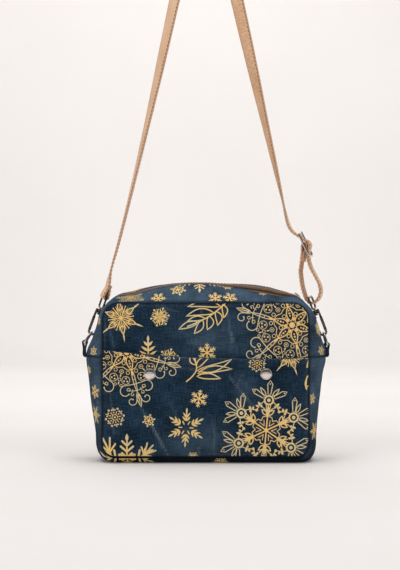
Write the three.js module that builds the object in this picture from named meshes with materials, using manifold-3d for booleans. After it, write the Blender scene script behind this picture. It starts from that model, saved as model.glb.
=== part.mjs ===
// Canvas shoulder bag: two domed panels on a crowned gusset, a snapped front pocket, a zipped top
// and a long leather strap on two swivel snap hooks.
// Millimetres. +X is to the right seen from the front, -Y faces the front, +Z is up.
// The origin is the underside of the strap's crown, where the strap lies on a round rail along X.
// Heights inside this file are measured from the bag's base; the outer group moves them down.
import * as THREE from "three";
import { mergeVertices } from "three/addons/utils/BufferGeometryUtils.js";
import Module from "manifold-3d";

const wasm = await Module();
wasm.setup();

// Driving sizes of the canvas body
const HANG_HEIGHT = 640;
const SEAM = { width: 218, height: 162.5, lift: 6.7, depth: 76, topRadius: 18, bottomRadius: 14 };
const CANVAS = 1.8;
const GAP = 0.35;
const PANEL_FILL = { front: 6, back: 5, power: 2.3 };
const PANEL_MITRE = 0.7;
const SIDE_SEAM_HEIGHT = 111.6;

// How far the middle of the gusset stands out from the panel seam on each side. "along" runs on the
// seam from the middle of the base to the middle of the top, "flat" is the share of the depth that
// has no crown.
const GUSSET_CROWN = [
  { along: 0, left: 6.7, right: 6.7, flat: 0.5 },
  { along: 95, left: 6.7, right: 6.9, flat: 0.5 },
  { along: 106, left: 8.6, right: 10.6, flat: 0.3 },
  { along: 117, left: 8.3, right: 9.2, flat: 0.15 },
  { along: 160, left: 13.6, right: 13, flat: 0.1 },
  { along: 190, left: 17.2, right: 17, flat: 0.1 },
  { along: 205, left: 19.2, right: 20.2, flat: 0.1 },
  { along: 214, left: 18.2, right: 20, flat: 0.1 },
  { along: 230, left: 12.4, right: 16, flat: 0.1 },
  { along: 247.5, left: 6.8, right: 11, flat: 0.05 },
  { along: 262, left: 5, right: 6.6, flat: 0.05 },
  { along: 275.8, left: 9.7, right: 9.6, flat: 0.05 },
  { along: 288, left: 12, right: 12.7, flat: 0.02 },
  { along: 300, left: 15.4, right: 15.8, flat: 0 },
  { along: 320, left: 18.4, right: 18.4, flat: 0 },
  { along: 350, left: 20.5, right: 19.6, flat: 0 },
  { along: 367, left: 20.5, right: 20.5, flat: 0 },
];

// Hollow that each snap hook presses into the middle of the soft side
const HOOK_HOLLOW = [
  { along: 212, left: 0, right: 0 },
  { along: 229, left: 4.4, right: 4.2 },
  { along: 256, left: 5.2, right: 5 },
  { along: 268, left: 2, right: 1.4 },
  { along: 282, left: 0, right: 0 },
];
const HOLLOW_REACH = 9;

// Soft ridges that stand up from the cloth, each along a line from start to end
const PANEL_FOLDS = [
  { startX: 24, startZ: 160, endX: 26, endZ: 118, reach: 7, rise: 1.1 },
  { startX: -80, startZ: 150, endX: -98, endZ: 122, reach: 8, rise: 1.2 },
  { startX: 70, startZ: 152, endX: 96, endZ: 124, reach: 8, rise: 1.0 },
];
const POCKET_FOLDS = [
  { startX: -64, startZ: 74, endX: -35, endZ: 12, reach: 8, rise: 1.5 },
  { startX: 36, startZ: 90, endX: 54, endZ: 62, reach: 7, rise: 1.1 },
  { startX: -92, startZ: 86, endX: -100, endZ: 40, reach: 8, rise: 1.0 },
  { startX: 92, startZ: 80, endX: 100, endZ: 36, reach: 8, rise: 1.0 },
];

// The pocket's upper edge: its height over the base and how far it gapes from the panel behind
const POCKET_MOUTH = [
  { x: -109, height: 119.5, gape: 0.4 },
  { x: -86, height: 117.6, gape: 2.4 },
  { x: -58, height: 114.8, gape: 0.5 },
  { x: -20, height: 112.4, gape: 0.9 },
  { x: 20, height: 111, gape: 0.7 },
  { x: 63, height: 110.4, gape: 0.2 },
  { x: 109, height: 111.4, gape: 0.2 },
];
const MOUTH_REACH = 42;
const HEM = { height: 10, extra: 0.7 };

// Closures
const ZIP = { end: 258, slit: 6.2, blend: 16 };
const TAPE = { half: 12, thick: 1.1, start: 254, under: 0.9 };
const TEETH = { half: 2.8, proud: 0.8, start: 261, under: 0.3 };
const SLIDER = { along: 271, length: 8, width: 8, height: 2 };
const PULL = { length: 20, width: 5, thick: 1.2, overlap: 1 };

// How far the zip's line runs in front of the middle of the depth
const ZIP_LINE = [
  { along: 216, left: 0, right: 0 },
  { along: 262, left: 5, right: 7 },
  { along: 290, left: 7, right: 10 },
  { along: 320, left: 6.5, right: 9 },
  { along: 367, left: 6, right: 6 },
];

const SNAP = { radius: 6.2, height: 2.7, centre: 94.5, places: { left: -58.3, right: 63.4 } };

// Side hardware, in a plane through the middle of each side: "out" from the middle of the bag, "up"
// from the base. A ring's bow ends where the hook seats on it.
const RING = {
  halfWidth: 10,
  wire: 1.15,
  corner: 2.2,
  bar: { left: { out: 129.4, up: 125.8 }, right: { out: 130.5, up: 123.4 } },
};
const HOOK = {
  wire: 1.2,
  half: 3.45,
  bend: -25,
  seat: { left: { out: 122, up: 137, tilt: 20 }, right: { out: 126.7, up: 136.3, tilt: 20.7 } },
};
const BARREL = { radius: 3, bore: 1.35, height: 4.5, edge: 0.4 };
const SHANK = [
  { in: 0.3, up: -0.8 },
  { in: 0.1, up: -5 },
  { in: 0, up: -9 },
];
const EYE = { wire: 1.1, halfWidth: 9.1, foot: 2.4, rise: 4.4, low: 1.6, high: 15, corner: 3 };
const POST = { radius: 1, head: 1.7, headHeight: 1.1 };
const LEVER = { pivotOut: -2.6, pivotUp: -8, end: -21.3, width: 2, thick: 2.2, boss: 1.6, hole: 0.85 };
const LEVER_TOE = { height: 3, share: 0.8 };
const PIN = 0.55;
const CHEEK = { width: 2.5, thick: 0.9, out: -2.65, top: -3.2, foot: -9.4 };
const TAB = { layer: 1.5, width: 15, foot: 111.6, footThick: 3.1, inside: 123.5, bend: 2 };
const TAB_LEAF = { back: 1.1, drop: 7.8, lean: 0.2 };
const TAB_SLOT = { reach: 14, inside: 2 };

// Strap and buckle. The buckle and the loop under it are turned about an upright line at "axis".
const STRAP = { width: 15, thick: 1.8, chamfer: 0.35, rail: 8, advance: 3.2, spacing: 28 };
const TAIL = { left: 13, right: 18, layered: 9, spread: 3.6, share: 0.85 };
const BUCKLE = { out: 107.5, up: 230.4, halfLength: 13.2, halfWidth: 9.6, wire: 1.2, corner: 3, tilt: 26.6 };
const PRONG = { wire: 0.8, slot: 2.8, overhang: 1.4, root: 0.4 };
const WEAVE = { slope: 6.6, slopeOut: 1.1, shoulder: 2.6, ease: 0.2 };
const STRAP_END_TURN = { left: 18, right: -12, axis: 114.5 };

// Turn of the strap about its own length on each branch, by height over the base. 0 is edge-on from
// the front, and a positive turn takes the front edge to the right.
const STRAP_TWIST = [
  { up: 188, left: 18, right: -12 },
  { up: 204, left: 3, right: -12 },
  { up: 225, left: 4, right: -12 },
  { up: 252, left: 6, right: -7 },
  { up: 290, left: 8, right: 0 },
  { up: 310, left: 10, right: 5 },
  { up: 365, left: 14, right: 18 },
  { up: 430, left: 32, right: 37 },
  { up: 494, left: 38, right: 49 },
  { up: 580, left: 68, right: 72 },
  { up: 632, left: 90, right: 90 },
];

// Bends of the strap over the left hook and over the buckle
const LEFT_RISE = [
  { out: -101.6, up: 203 },
  { out: -98.2, up: 216 },
];
const RIGHT_BEND = [
  { out: 90.3, up: 252 },
  { out: 94.6, up: 247 },
];

// The right end's teardrop loop, from under the buckle round the hook's eye and back up to the buckle
const LOOP_ROUTE = [
  { out: 112.4, up: 210 },
  { out: 115.2, up: 203.5 },
  { out: 119.4, up: 196 },
  { out: 123.4, up: 187.4 },
  { out: 124.4, up: 179.6 },
  { out: 121.2, up: 171.6 },
  { out: 114.5, up: 167.6 },
  { out: 109.6, up: 171.4 },
  { out: 107, up: 177.5 },
  { out: 104.2, up: 187.4 },
  { out: 102.3, up: 202 },
];

// Facets round a wire, round a turned piece and along a bend
const SIDES = { wire: 8, turned: 16, bend: 8, crown: 10 };

// Steps of the cloth grids across and up, and of the gusset on each stretch of the seam
const GRID = { front: [18, 10], back: [16, 8], base: 7, strip: 5, tape: 4, teeth: 2 };
const STATIONS = { base: 4, bend: 4, side: 7, top: 5, margin: 11, spacing: 5 };

// Finishes
const FINISH = {
  canvas: { color: 0x22394c, roughness: 0.9, metalness: 0 },
  zipTape: { color: 0x7a5138, roughness: 0.85, metalness: 0 },
  zipTeeth: { color: 0x8a5f43, roughness: 0.6, metalness: 0 },
  nickel: { color: 0xc9c7c2, roughness: 0.22, metalness: 1 },
  leather: { color: 0xb98f6c, roughness: 0.6, metalness: 0 },
};

// Values that the sections share
const ALONG_Y = new THREE.Vector3(0, 1, 0);
const HANDS = { left: -1, right: 1 };
const handOf = (side) => (side < 0 ? "left" : "right");
const halfWidth = SEAM.width / 2;
const halfDepth = SEAM.depth / 2;
const seamTop = SEAM.lift + SEAM.height;
const middleHeight = SEAM.lift + SEAM.height / 2;

// Table reading

// Value of a table's column at a place, by cubic pieces whose slopes follow the neighbouring rows.
function readTable(table, key, column, place) {
  const last = table.length - 1;
  if (place <= table[0][key]) return table[0][column];
  if (place >= table[last][key]) return table[last][column];
  const row = table.findIndex((entry, i) => i < last && place < table[i + 1][key]);
  const span = table[row + 1][key] - table[row][key];
  const t = (place - table[row][key]) / span;
  const rise = (i) => (table[i + 1][column] - table[i][column]) / (table[i + 1][key] - table[i][key]);
  const slope = (i) => {
    if (i === 0 || i === last || rise(i - 1) * rise(i) <= 0) return 0;
    return (2 * rise(i - 1) * rise(i)) / (rise(i - 1) + rise(i));
  };
  const start = (2 * t ** 3 - 3 * t ** 2 + 1) * table[row][column];
  const end = (3 * t ** 2 - 2 * t ** 3) * table[row + 1][column];
  const bend = (t ** 3 - 2 * t ** 2 + t) * slope(row) + (t ** 3 - t ** 2) * slope(row + 1);
  return start + end + span * bend;
}

// Mesh making

// Signed volume of a closed indexed geometry.
function volumeOf(geometry) {
  const corner = [0, 1, 2].map(() => new THREE.Vector3());
  const { position } = geometry.attributes;
  let volume = 0;
  for (let i = 0; i < geometry.index.count; i += 3) {
    corner.forEach((point, k) => point.fromBufferAttribute(position, geometry.index.getX(i + k)));
    volume += corner[0].dot(corner[1].clone().cross(corner[2])) / 6;
  }
  return volume;
}

// Turns the faces of a closed geometry outward.
function facingOut(geometry) {
  if (volumeOf(geometry) < 0) {
    const order = Array.from(geometry.index.array);
    geometry.setIndex(order.map((_, i) => order[i - (i % 3) + (2 - (i % 3))]));
  }
  return geometry;
}

// Closed geometry from points and triangles.
function meshOf(points, triangles) {
  const geometry = new THREE.BufferGeometry();
  const numbers = points.flatMap((point) => point.toArray());
  geometry.setAttribute("position", new THREE.Float32BufferAttribute(numbers, 3));
  geometry.setIndex(triangles.flat());
  return facingOut(geometry);
}

// Two triangles of a four-cornered face.
function quad(a, b, c, d) {
  return [[a, b, c], [a, c, d]];
}

// Wall between two grids of points, closed round its rim.
function shell(outer, inner) {
  const rows = outer.length;
  const columns = outer[0].length;
  const points = [...outer.flat(), ...inner.flat()];
  const out = (i, j) => i * columns + j;
  const back = (i, j) => rows * columns + i * columns + j;
  const triangles = [];
  for (let i = 0; i + 1 < rows; i += 1) {
    for (let j = 0; j + 1 < columns; j += 1) {
      triangles.push(...quad(out(i, j), out(i + 1, j), out(i + 1, j + 1), out(i, j + 1)));
      triangles.push(...quad(back(i, j), back(i, j + 1), back(i + 1, j + 1), back(i + 1, j)));
    }
    triangles.push(...quad(out(i, 0), back(i, 0), back(i + 1, 0), out(i + 1, 0)));
    const edge = columns - 1;
    triangles.push(...quad(out(i, edge), out(i + 1, edge), back(i + 1, edge), back(i, edge)));
  }
  for (let j = 0; j + 1 < columns; j += 1) {
    triangles.push(...quad(out(0, j), out(0, j + 1), back(0, j + 1), back(0, j)));
    const edge = rows - 1;
    triangles.push(...quad(out(edge, j), back(edge, j), back(edge, j + 1), out(edge, j + 1)));
  }
  return meshOf(points, triangles);
}

// Skin through a row of rings with equal corner counts, capped at both ends unless it closes on itself.
function loft(rings, closed = false) {
  const corners = rings[0].length;
  const triangles = [];
  const steps = closed ? rings.length : rings.length - 1;
  for (let i = 0; i < steps; i += 1) {
    const next = (i + 1) % rings.length;
    for (let j = 0; j < corners; j += 1) {
      const k = (j + 1) % corners;
      triangles.push(...quad(i * corners + j, i * corners + k, next * corners + k, next * corners + j));
    }
  }
  if (!closed) {
    const end = (rings.length - 1) * corners;
    for (let j = 1; j + 1 < corners; j += 1) {
      triangles.push([0, j + 1, j], [end, end + j, end + j + 1]);
    }
  }
  return meshOf(rings.flat(), triangles);
}

// Directions of travel along a line of points.
function tangentsOf(points, closed = false) {
  const count = points.length;
  return points.map((_, i) => {
    const before = closed ? points[(i + count - 1) % count] : points[Math.max(i - 1, 0)];
    const after = closed ? points[(i + 1) % count] : points[Math.min(i + 1, count - 1)];
    return after.clone().sub(before).normalize();
  });
}

// Round wire along a line of points that lies in a plane with the given normal.
function wire(points, radius, normal, closed = false) {
  const tangents = tangentsOf(points, closed);
  const rings = points.map((point, i) => {
    const across = normal.clone().cross(tangents[i]).normalize();
    return Array.from({ length: SIDES.wire }, (_, k) => {
      const turn = (2 * Math.PI * (k + 0.5)) / SIDES.wire;
      return point.clone()
        .addScaledVector(across, radius * Math.cos(turn))
        .addScaledVector(normal, radius * Math.sin(turn));
    });
  });
  return loft(rings, closed);
}

// Solid for cutting and joining from any closed geometry.
function solidOf(geometry) {
  const bare = new THREE.BufferGeometry();
  bare.setAttribute("position", geometry.getAttribute("position").clone());
  if (geometry.index) bare.setIndex(geometry.index.clone());
  const merged = mergeVertices(bare, 1e-4);
  const order = Array.from(merged.index.array);
  const kept = [];
  for (let i = 0; i < order.length; i += 3) {
    const [a, b, c] = order.slice(i, i + 3);
    if (a !== b && b !== c && c !== a) kept.push([a, b, c]);
  }
  merged.setIndex(kept.flat());
  const { position } = facingOut(merged).attributes;
  const triVerts = Uint32Array.from(merged.index.array);
  return new wasm.Manifold(new wasm.Mesh({ numProp: 3, vertProperties: position.array, triVerts }));
}

// Geometry of a cut or joined solid.
function geometryOf(solid) {
  const mesh = solid.getMesh();
  const geometry = new THREE.BufferGeometry();
  geometry.setAttribute("position", new THREE.BufferAttribute(mesh.vertProperties, 3));
  geometry.setIndex(new THREE.BufferAttribute(mesh.triVerts, 1));
  return geometry;
}

// Joins geometries into one body.
function joined(...geometries) {
  return geometryOf(geometries.map(solidOf).reduce((sum, solid) => sum.add(solid)));
}

// Cuts tools out of a geometry.
function cut(geometry, ...tools) {
  return geometryOf(tools.map(solidOf).reduce((rest, tool) => rest.subtract(tool), solidOf(geometry)));
}

// Cylinder between two points.
function rod(start, end, radius, sides = SIDES.turned) {
  const span = end.clone().sub(start);
  const geometry = new THREE.CylinderGeometry(radius, radius, span.length(), sides);
  geometry.applyQuaternion(new THREE.Quaternion().setFromUnitVectors(ALONG_Y, span.clone().normalize()));
  const middle = start.clone().add(end).multiplyScalar(0.5);
  return geometry.translate(middle.x, middle.y, middle.z);
}

// Named mesh with a material of its own.
function piece(name, geometry, finish) {
  const mesh = new THREE.Mesh(geometry, new THREE.MeshStandardMaterial(finish));
  mesh.name = name;
  return mesh;
}

// Canvas body

// Places along the seam where its stretches meet
const baseRun = halfWidth - SEAM.bottomRadius;
const bottomBend = (SEAM.bottomRadius * Math.PI) / 2;
const sideRun = SEAM.height - SEAM.bottomRadius - SEAM.topRadius;
const topBend = (SEAM.topRadius * Math.PI) / 2;
const topRun = halfWidth - SEAM.topRadius;
const sideStart = baseRun + bottomBend;
const sideEnd = sideStart + sideRun;
const topStart = sideEnd + topBend;
const halfSeam = topStart + topRun;
const sideSeamAlong = sideStart + SIDE_SEAM_HEIGHT - SEAM.lift - SEAM.bottomRadius;

// Point and outward direction on the right half of the panel seam, in the XZ plane.
function seamAt(along) {
  let rest = along;
  if (rest <= baseRun) return { x: rest, z: SEAM.lift, turn: -Math.PI / 2 };
  rest -= baseRun;
  if (rest <= bottomBend) {
    const turn = -Math.PI / 2 + rest / SEAM.bottomRadius;
    const z = SEAM.lift + SEAM.bottomRadius * (1 + Math.sin(turn));
    return { x: baseRun + SEAM.bottomRadius * Math.cos(turn), z, turn };
  }
  rest -= bottomBend;
  if (rest <= sideRun) return { x: halfWidth, z: SEAM.lift + SEAM.bottomRadius + rest, turn: 0 };
  rest -= sideRun;
  if (rest <= topBend) {
    const turn = rest / SEAM.topRadius;
    const z = seamTop - SEAM.topRadius * (1 - Math.sin(turn));
    return { x: topRun + SEAM.topRadius * Math.cos(turn), z, turn };
  }
  return { x: topRun - (rest - topBend), z: seamTop, turn: Math.PI / 2 };
}

// Share of the crown reached at a place across the depth, from 0 at the seams to 1 in the middle.
function crownShare(across, flat) {
  const slope = Math.max(Math.abs(across) - flat, 0) / (1 - flat);
  return 1 - slope ** 2;
}

// Point on the gusset's outside. "across" runs from -1 at the front seam to 1 at the back seam.
function gussetPoint(side, along, across) {
  if (along > halfSeam) return gussetPoint(-side, 2 * halfSeam - along, across);
  if (along < 0) return gussetPoint(-side, -along, across);
  const { x, z, turn } = seamAt(along);
  const flat = readTable(GUSSET_CROWN, "along", "flat", along);
  const crown = readTable(GUSSET_CROWN, "along", handOf(side), along) * crownShare(across, flat);
  const hollow = readTable(HOOK_HOLLOW, "along", handOf(side), along);
  const stand = crown - hollow * Math.exp(-(((across * halfDepth) / HOLLOW_REACH) ** 2));
  const out = x + stand * Math.cos(turn);
  return new THREE.Vector3(side * out, across * halfDepth, z + stand * Math.sin(turn));
}

// Direction out of the gusset's surface.
function gussetNormal(side, along, across) {
  const step = 0.02;
  const { turn } = seamAt(Math.min(along, halfSeam));
  const length = gussetPoint(side, along + step, across).sub(gussetPoint(side, along - step, across));
  const depth = gussetPoint(side, along, across + step).sub(gussetPoint(side, along, across - step));
  const normal = length.cross(depth).normalize();
  const outward = new THREE.Vector3(side * Math.cos(turn), 0, Math.sin(turn));
  return normal.dot(outward) < 0 ? normal.negate() : normal;
}

// Point under the gusset's outside. At a panel seam the wall is cut along the mitre with the panel.
function gussetUnder(side, along, across, depth) {
  const outside = gussetPoint(side, along, across);
  if (Math.abs(across) < 1 - (2 * GAP) / halfDepth) {
    return outside.addScaledVector(gussetNormal(side, along, across), -depth);
  }
  const { turn } = seamAt(Math.min(along, halfSeam));
  const inset = depth * mitreShare(side, along);
  outside.add(new THREE.Vector3(-side * inset * Math.cos(turn), 0, -inset * Math.sin(turn)));
  outside.y -= Math.sign(across) * depth;
  return outside;
}

// Inset of a mitred seam for each millimetre of wall, from the slope at which the gusset meets the panel.
function mitreShare(side, along) {
  const stand = readTable(GUSSET_CROWN, "along", handOf(side), along);
  const flat = readTable(GUSSET_CROWN, "along", "flat", along);
  const slope = Math.atan((2 * stand) / ((1 - flat) * halfDepth));
  return Math.tan(Math.PI / 4 - slope / 2);
}

// Evenly spaced values from a start to an end.
function spread(start, end, steps) {
  return Array.from({ length: steps + 1 }, (_, i) => start + ((end - start) * i) / steps);
}

// Stations on one half of the seam between two places, with more of them round the corners.
function stations(start, end) {
  const { base, bend, side, top, margin, spacing } = STATIONS;
  const marks = [
    ...spread(0, baseRun - margin / 2, base),
    ...spread(baseRun, sideStart, bend),
    ...spread(sideStart + margin, sideEnd - margin, side),
    ...spread(sideEnd, topStart, bend),
    ...spread(topStart + margin, halfSeam, top),
  ];
  const between = marks.filter((mark) => mark > start + spacing && mark < end - spacing);
  return [start, ...between, end];
}

// Gusset wall over a run of stations. "span" gives its two edges across the depth at a station.
function gussetWall(run, span, steps, top, bottom) {
  const outer = [];
  const inner = [];
  for (const { side, along } of run) {
    const { from, to } = span(side, along);
    outer.push(spread(from, to, steps).map((across) => {
      const point = gussetPoint(side, along, across);
      return top === 0 ? point : point.addScaledVector(gussetNormal(side, along, across), top);
    }));
    inner.push(spread(from, to, steps).map((across) => gussetUnder(side, along, across, bottom)));
  }
  return shell(outer, inner);
}

// Run from one side over the top of the bag to the other.
function overTop(start) {
  const right = stations(start, halfSeam).map((along) => ({ side: 1, along }));
  const left = stations(start, halfSeam).slice(0, -1).reverse().map((along) => ({ side: -1, along }));
  return [...right, ...left];
}

// Run from one side under the base to the other.
function underBase(end) {
  const right = stations(0, end).map((along) => ({ side: 1, along }));
  const left = stations(0, end).slice(1).reverse().map((along) => ({ side: -1, along }));
  return [...left, ...right];
}

const seamEdge = 1 - GAP / halfDepth;

// Slots in the side seams that the ring tabs pass through.
function tabSlots() {
  const { reach, inside } = TAB_SLOT;
  return Object.values(HANDS).map((side) => {
    const slot = new THREE.BoxGeometry(reach, TAB.width + 2 * GAP, TAB.footThick + 2 * GAP);
    return slot.translate(side * (TAB.inside + reach / 2 - inside), 0, TAB.foot);
  });
}

function baseGusset() {
  const run = underBase(sideSeamAlong - GAP / 2);
  const wall = gussetWall(run, () => ({ from: -seamEdge, to: seamEdge }), GRID.base, 0, CANVAS);
  return cut(wall, ...tabSlots());
}

// Place of the zip's line across the depth.
function zipMiddle(side, along) {
  return -readTable(ZIP_LINE, "along", handOf(side), along) / halfDepth;
}

// Half of the opening between the two zip strips, as a share of the half depth.
function zipSlit(along) {
  const share = THREE.MathUtils.smoothstep(along, ZIP.end - ZIP.blend / 2, ZIP.end + ZIP.blend / 2);
  return THREE.MathUtils.lerp(GAP / 2, ZIP.slit, share) / halfDepth;
}

function zipStrip(facing) {
  const span = (side, along) => {
    return { from: facing * seamEdge, to: zipMiddle(side, along) + facing * zipSlit(along) };
  };
  const wall = gussetWall(overTop(sideSeamAlong + GAP / 2), span, GRID.strip, 0, CANVAS);
  return cut(wall, ...tabSlots());
}

// Rounded outline of a panel drawn in from the seam: the lowest and highest point at a place across.
function panelEdges(x, inset) {
  const rise = (radius) => {
    const past = Math.max(Math.abs(x) - (halfWidth - radius), 0);
    return radius - inset - Math.sqrt(Math.max((radius - inset) ** 2 - past ** 2, 0));
  };
  const low = SEAM.lift + inset + rise(SEAM.bottomRadius);
  return { low, high: seamTop - inset - rise(SEAM.topRadius) };
}

// Share of a panel's fill, from 0 at the seam to 1 in the middle.
function domeShare(x, z) {
  const width = 1 - Math.min(Math.abs(x) / halfWidth, 1) ** PANEL_FILL.power;
  const height = 1 - Math.min(Math.abs(z - middleHeight) / (SEAM.height / 2), 1) ** PANEL_FILL.power;
  return width * height;
}

// Height of the soft ridges at a place on a panel.
function foldRise(folds, x, z) {
  return folds.reduce((sum, fold) => {
    const length = new THREE.Vector2(fold.endX - fold.startX, fold.endZ - fold.startZ);
    const reach = new THREE.Vector2(x - fold.startX, z - fold.startZ);
    const share = THREE.MathUtils.clamp(reach.dot(length) / length.lengthSq(), 0, 1);
    const distance = reach.addScaledVector(length, -share).length() / fold.reach;
    return sum + fold.rise * Math.exp(-(distance ** 2)) * Math.sin(Math.PI * (0.15 + 0.7 * share));
  }, 0);
}

// Grid of panel points. Columns crowd towards the sides, where the corners are.
function panelGrid([columns, rows], inset, topOf, depthOf) {
  const reach = halfWidth - inset;
  return spread(-1, 1, columns).map((share) => {
    const x = reach * Math.sin((share * Math.PI) / 2);
    const { low, high } = panelEdges(x, inset);
    const top = Math.min(high, topOf(x));
    return spread(low, top, rows).map((z) => new THREE.Vector3(x, depthOf(x, z), z));
  });
}

const panelMitre = CANVAS * PANEL_MITRE;

function frontSurface(x, z) {
  const share = domeShare(x, z);
  return halfDepth + PANEL_FILL.front * share + foldRise(PANEL_FOLDS, x, z) * Math.sqrt(share);
}

function frontPanel() {
  const top = () => seamTop;
  const outer = panelGrid(GRID.front, GAP, top, (x, z) => -frontSurface(x, z));
  const inner = panelGrid(GRID.front, GAP + panelMitre, top, (x, z) => CANVAS - frontSurface(x, z));
  return shell(outer, inner);
}

function backPanel() {
  const surface = (x, z) => halfDepth + PANEL_FILL.back * domeShare(x, z);
  const top = () => seamTop;
  const outer = panelGrid(GRID.back, GAP, top, (x, z) => surface(x, z));
  const inner = panelGrid(GRID.back, GAP + panelMitre, top, (x, z) => surface(x, z) - CANVAS);
  return shell(outer, inner);
}

const pocketTop = (x) => readTable(POCKET_MOUTH, "x", "height", x);

// How far the pocket's inside stands off the middle plane.
function pocketInside(x, z) {
  const open = Math.max(1 - (pocketTop(x) - z) / MOUTH_REACH, 0) ** 2;
  const gape = readTable(POCKET_MOUTH, "x", "gape", x) * open;
  const edge = Math.min(domeShare(x, z) * 4, 1);
  return frontSurface(x, z) + GAP + gape + foldRise(POCKET_FOLDS, x, z) * edge;
}

function pocketWall(x, z) {
  const hem = THREE.MathUtils.smoothstep(z, pocketTop(x) - HEM.height - 2, pocketTop(x) - HEM.height + 2);
  return CANVAS + HEM.extra * hem;
}

function frontPocket() {
  const outside = (x, z) => -pocketInside(x, z) - pocketWall(x, z);
  const outer = panelGrid(GRID.front, GAP, pocketTop, outside);
  const inner = panelGrid(GRID.front, GAP, pocketTop, (x, z) => -pocketInside(x, z));
  return shell(outer, inner);
}

// Closures

// Band along the zip's line between two depths under the strips' outside.
function zipBand(start, half, top, bottom, steps) {
  const span = (side, along) => {
    const middle = zipMiddle(side, along);
    return { from: middle - half / halfDepth, to: middle + half / halfDepth };
  };
  return gussetWall(overTop(start), span, steps, top, bottom);
}

function zipperTape() {
  const top = CANVAS + TAPE.under;
  return zipBand(TAPE.start, TAPE.half, -top, top + TAPE.thick, GRID.tape);
}

function zipperTeeth() {
  return zipBand(TEETH.start, TEETH.half, TEETH.proud, CANVAS + TEETH.under, GRID.teeth);
}

// Slider on the right end of the teeth, with its pull laid back over the rear strip.
function zipSlider() {
  const middle = zipMiddle(HANDS.right, SLIDER.along);
  const place = gussetPoint(HANDS.right, SLIDER.along, middle);
  const up = gussetNormal(HANDS.right, SLIDER.along, middle);
  const forward = ALONG_Y.clone().cross(up).normalize();
  const back = up.clone().cross(forward);
  const basis = new THREE.Matrix4().makeBasis(forward, back, up).setPosition(place);
  const level = TEETH.proud + GAP + SLIDER.height / 2;
  const body = new THREE.BoxGeometry(SLIDER.length, SLIDER.width, SLIDER.height).translate(0, 0, level);
  const pull = new THREE.BoxGeometry(PULL.width, PULL.length, PULL.thick);
  pull.translate(0, SLIDER.width / 2 - PULL.overlap + PULL.length / 2, level);
  return joined(body, pull).applyMatrix4(basis);
}

// Domed cap with a rolled rim, facing the front on the pocket's outside.
function pocketSnap(x) {
  const rim = SNAP.radius;
  const profile = [[0, 0], [rim - 0.5, 0], [rim, 0.5], [rim, 1.1], [rim - 0.5, 1.6], [rim * 0.7, 2.2]];
  profile.push([rim * 0.35, SNAP.height - 0.12], [0, SNAP.height]);
  const cap = new THREE.LatheGeometry(profile.map(([r, h]) => new THREE.Vector2(r, h)), SIDES.turned);
  cap.rotateX(Math.PI);
  const z = SNAP.centre;
  const highest = Math.max(...spread(0, 2 * Math.PI, 12).map((turn) => {
    const [rx, rz] = [x + rim * Math.cos(turn), z + rim * Math.sin(turn)];
    return pocketInside(rx, rz) + pocketWall(rx, rz);
  }), pocketInside(x, z) + pocketWall(x, z));
  return geometryOf(solidOf(cap.translate(x, -highest - 1.5 * GAP, z)));
}

// Side hardware

// Where the hook seats on its ring.
function hookSeat(side) {
  const { out, up } = HOOK.seat[handOf(side)];
  return new THREE.Vector3(side * out, 0, up);
}

// Maps the hook's own axes, out across and up along it, to the bag. The barrel's upper face is at height 0.
function hookPlace(side) {
  const tilt = THREE.MathUtils.degToRad(HOOK.seat[handOf(side)].tilt);
  const up = new THREE.Vector3(-side * Math.sin(tilt), 0, Math.cos(tilt));
  const out = new THREE.Vector3(side * Math.cos(tilt), 0, Math.sin(tilt));
  const seat = HOOK.bend - (HOOK.half - HOOK.wire - GAP - RING.wire);
  const origin = hookSeat(side).addScaledVector(up, -seat);
  return { origin, up, basis: new THREE.Matrix4().makeBasis(out, ALONG_Y, up).setPosition(origin) };
}

// Puts a geometry made in the hook's own axes in its place.
function onHook(geometry, side) {
  return facingOut(geometryOf(solidOf(geometry)).applyMatrix4(hookPlace(side).basis));
}

function hookBody(side) {
  const flat = (out, up) => new THREE.Vector3(out, 0, up);
  const shank = SHANK.map((row) => flat(HOOK.half - row.in, row.up));
  const bend = spread(0, -Math.PI, SIDES.bend).map((turn) => {
    return flat(HOOK.half * Math.cos(turn), HOOK.bend + HOOK.half * Math.sin(turn));
  });
  const tip = flat(-HOOK.half, LEVER.end - GAP);
  const spine = wire([...shank, ...bend, tip], HOOK.wire, ALONG_Y);
  const { radius, bore, height, edge } = BARREL;
  const profile = [[bore, -height], [radius - edge, -height], [radius, edge - height], [radius, -edge]];
  profile.push([radius - edge, 0], [bore, 0], [bore, -height]);
  const barrel = new THREE.LatheGeometry(profile.map(([r, h]) => new THREE.Vector2(r, h)), SIDES.turned);
  barrel.rotateX(Math.PI / 2);
  const cheekPlace = LEVER.thick / 2 + GAP + CHEEK.thick / 2;
  const cheeks = [-1, 1].map((hand) => {
    const cheek = new THREE.BoxGeometry(CHEEK.width, CHEEK.thick, CHEEK.top - CHEEK.foot);
    return cheek.translate(CHEEK.out, hand * cheekPlace, (CHEEK.top + CHEEK.foot) / 2);
  });
  const pinEnd = cheekPlace + CHEEK.thick / 4;
  const pivot = (y) => new THREE.Vector3(LEVER.pivotOut, y, LEVER.pivotUp);
  const pin = rod(pivot(-pinEnd), pivot(pinEnd), PIN, SIDES.wire);
  return onHook(joined(spine, barrel, ...cheeks, pin), side);
}

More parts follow.
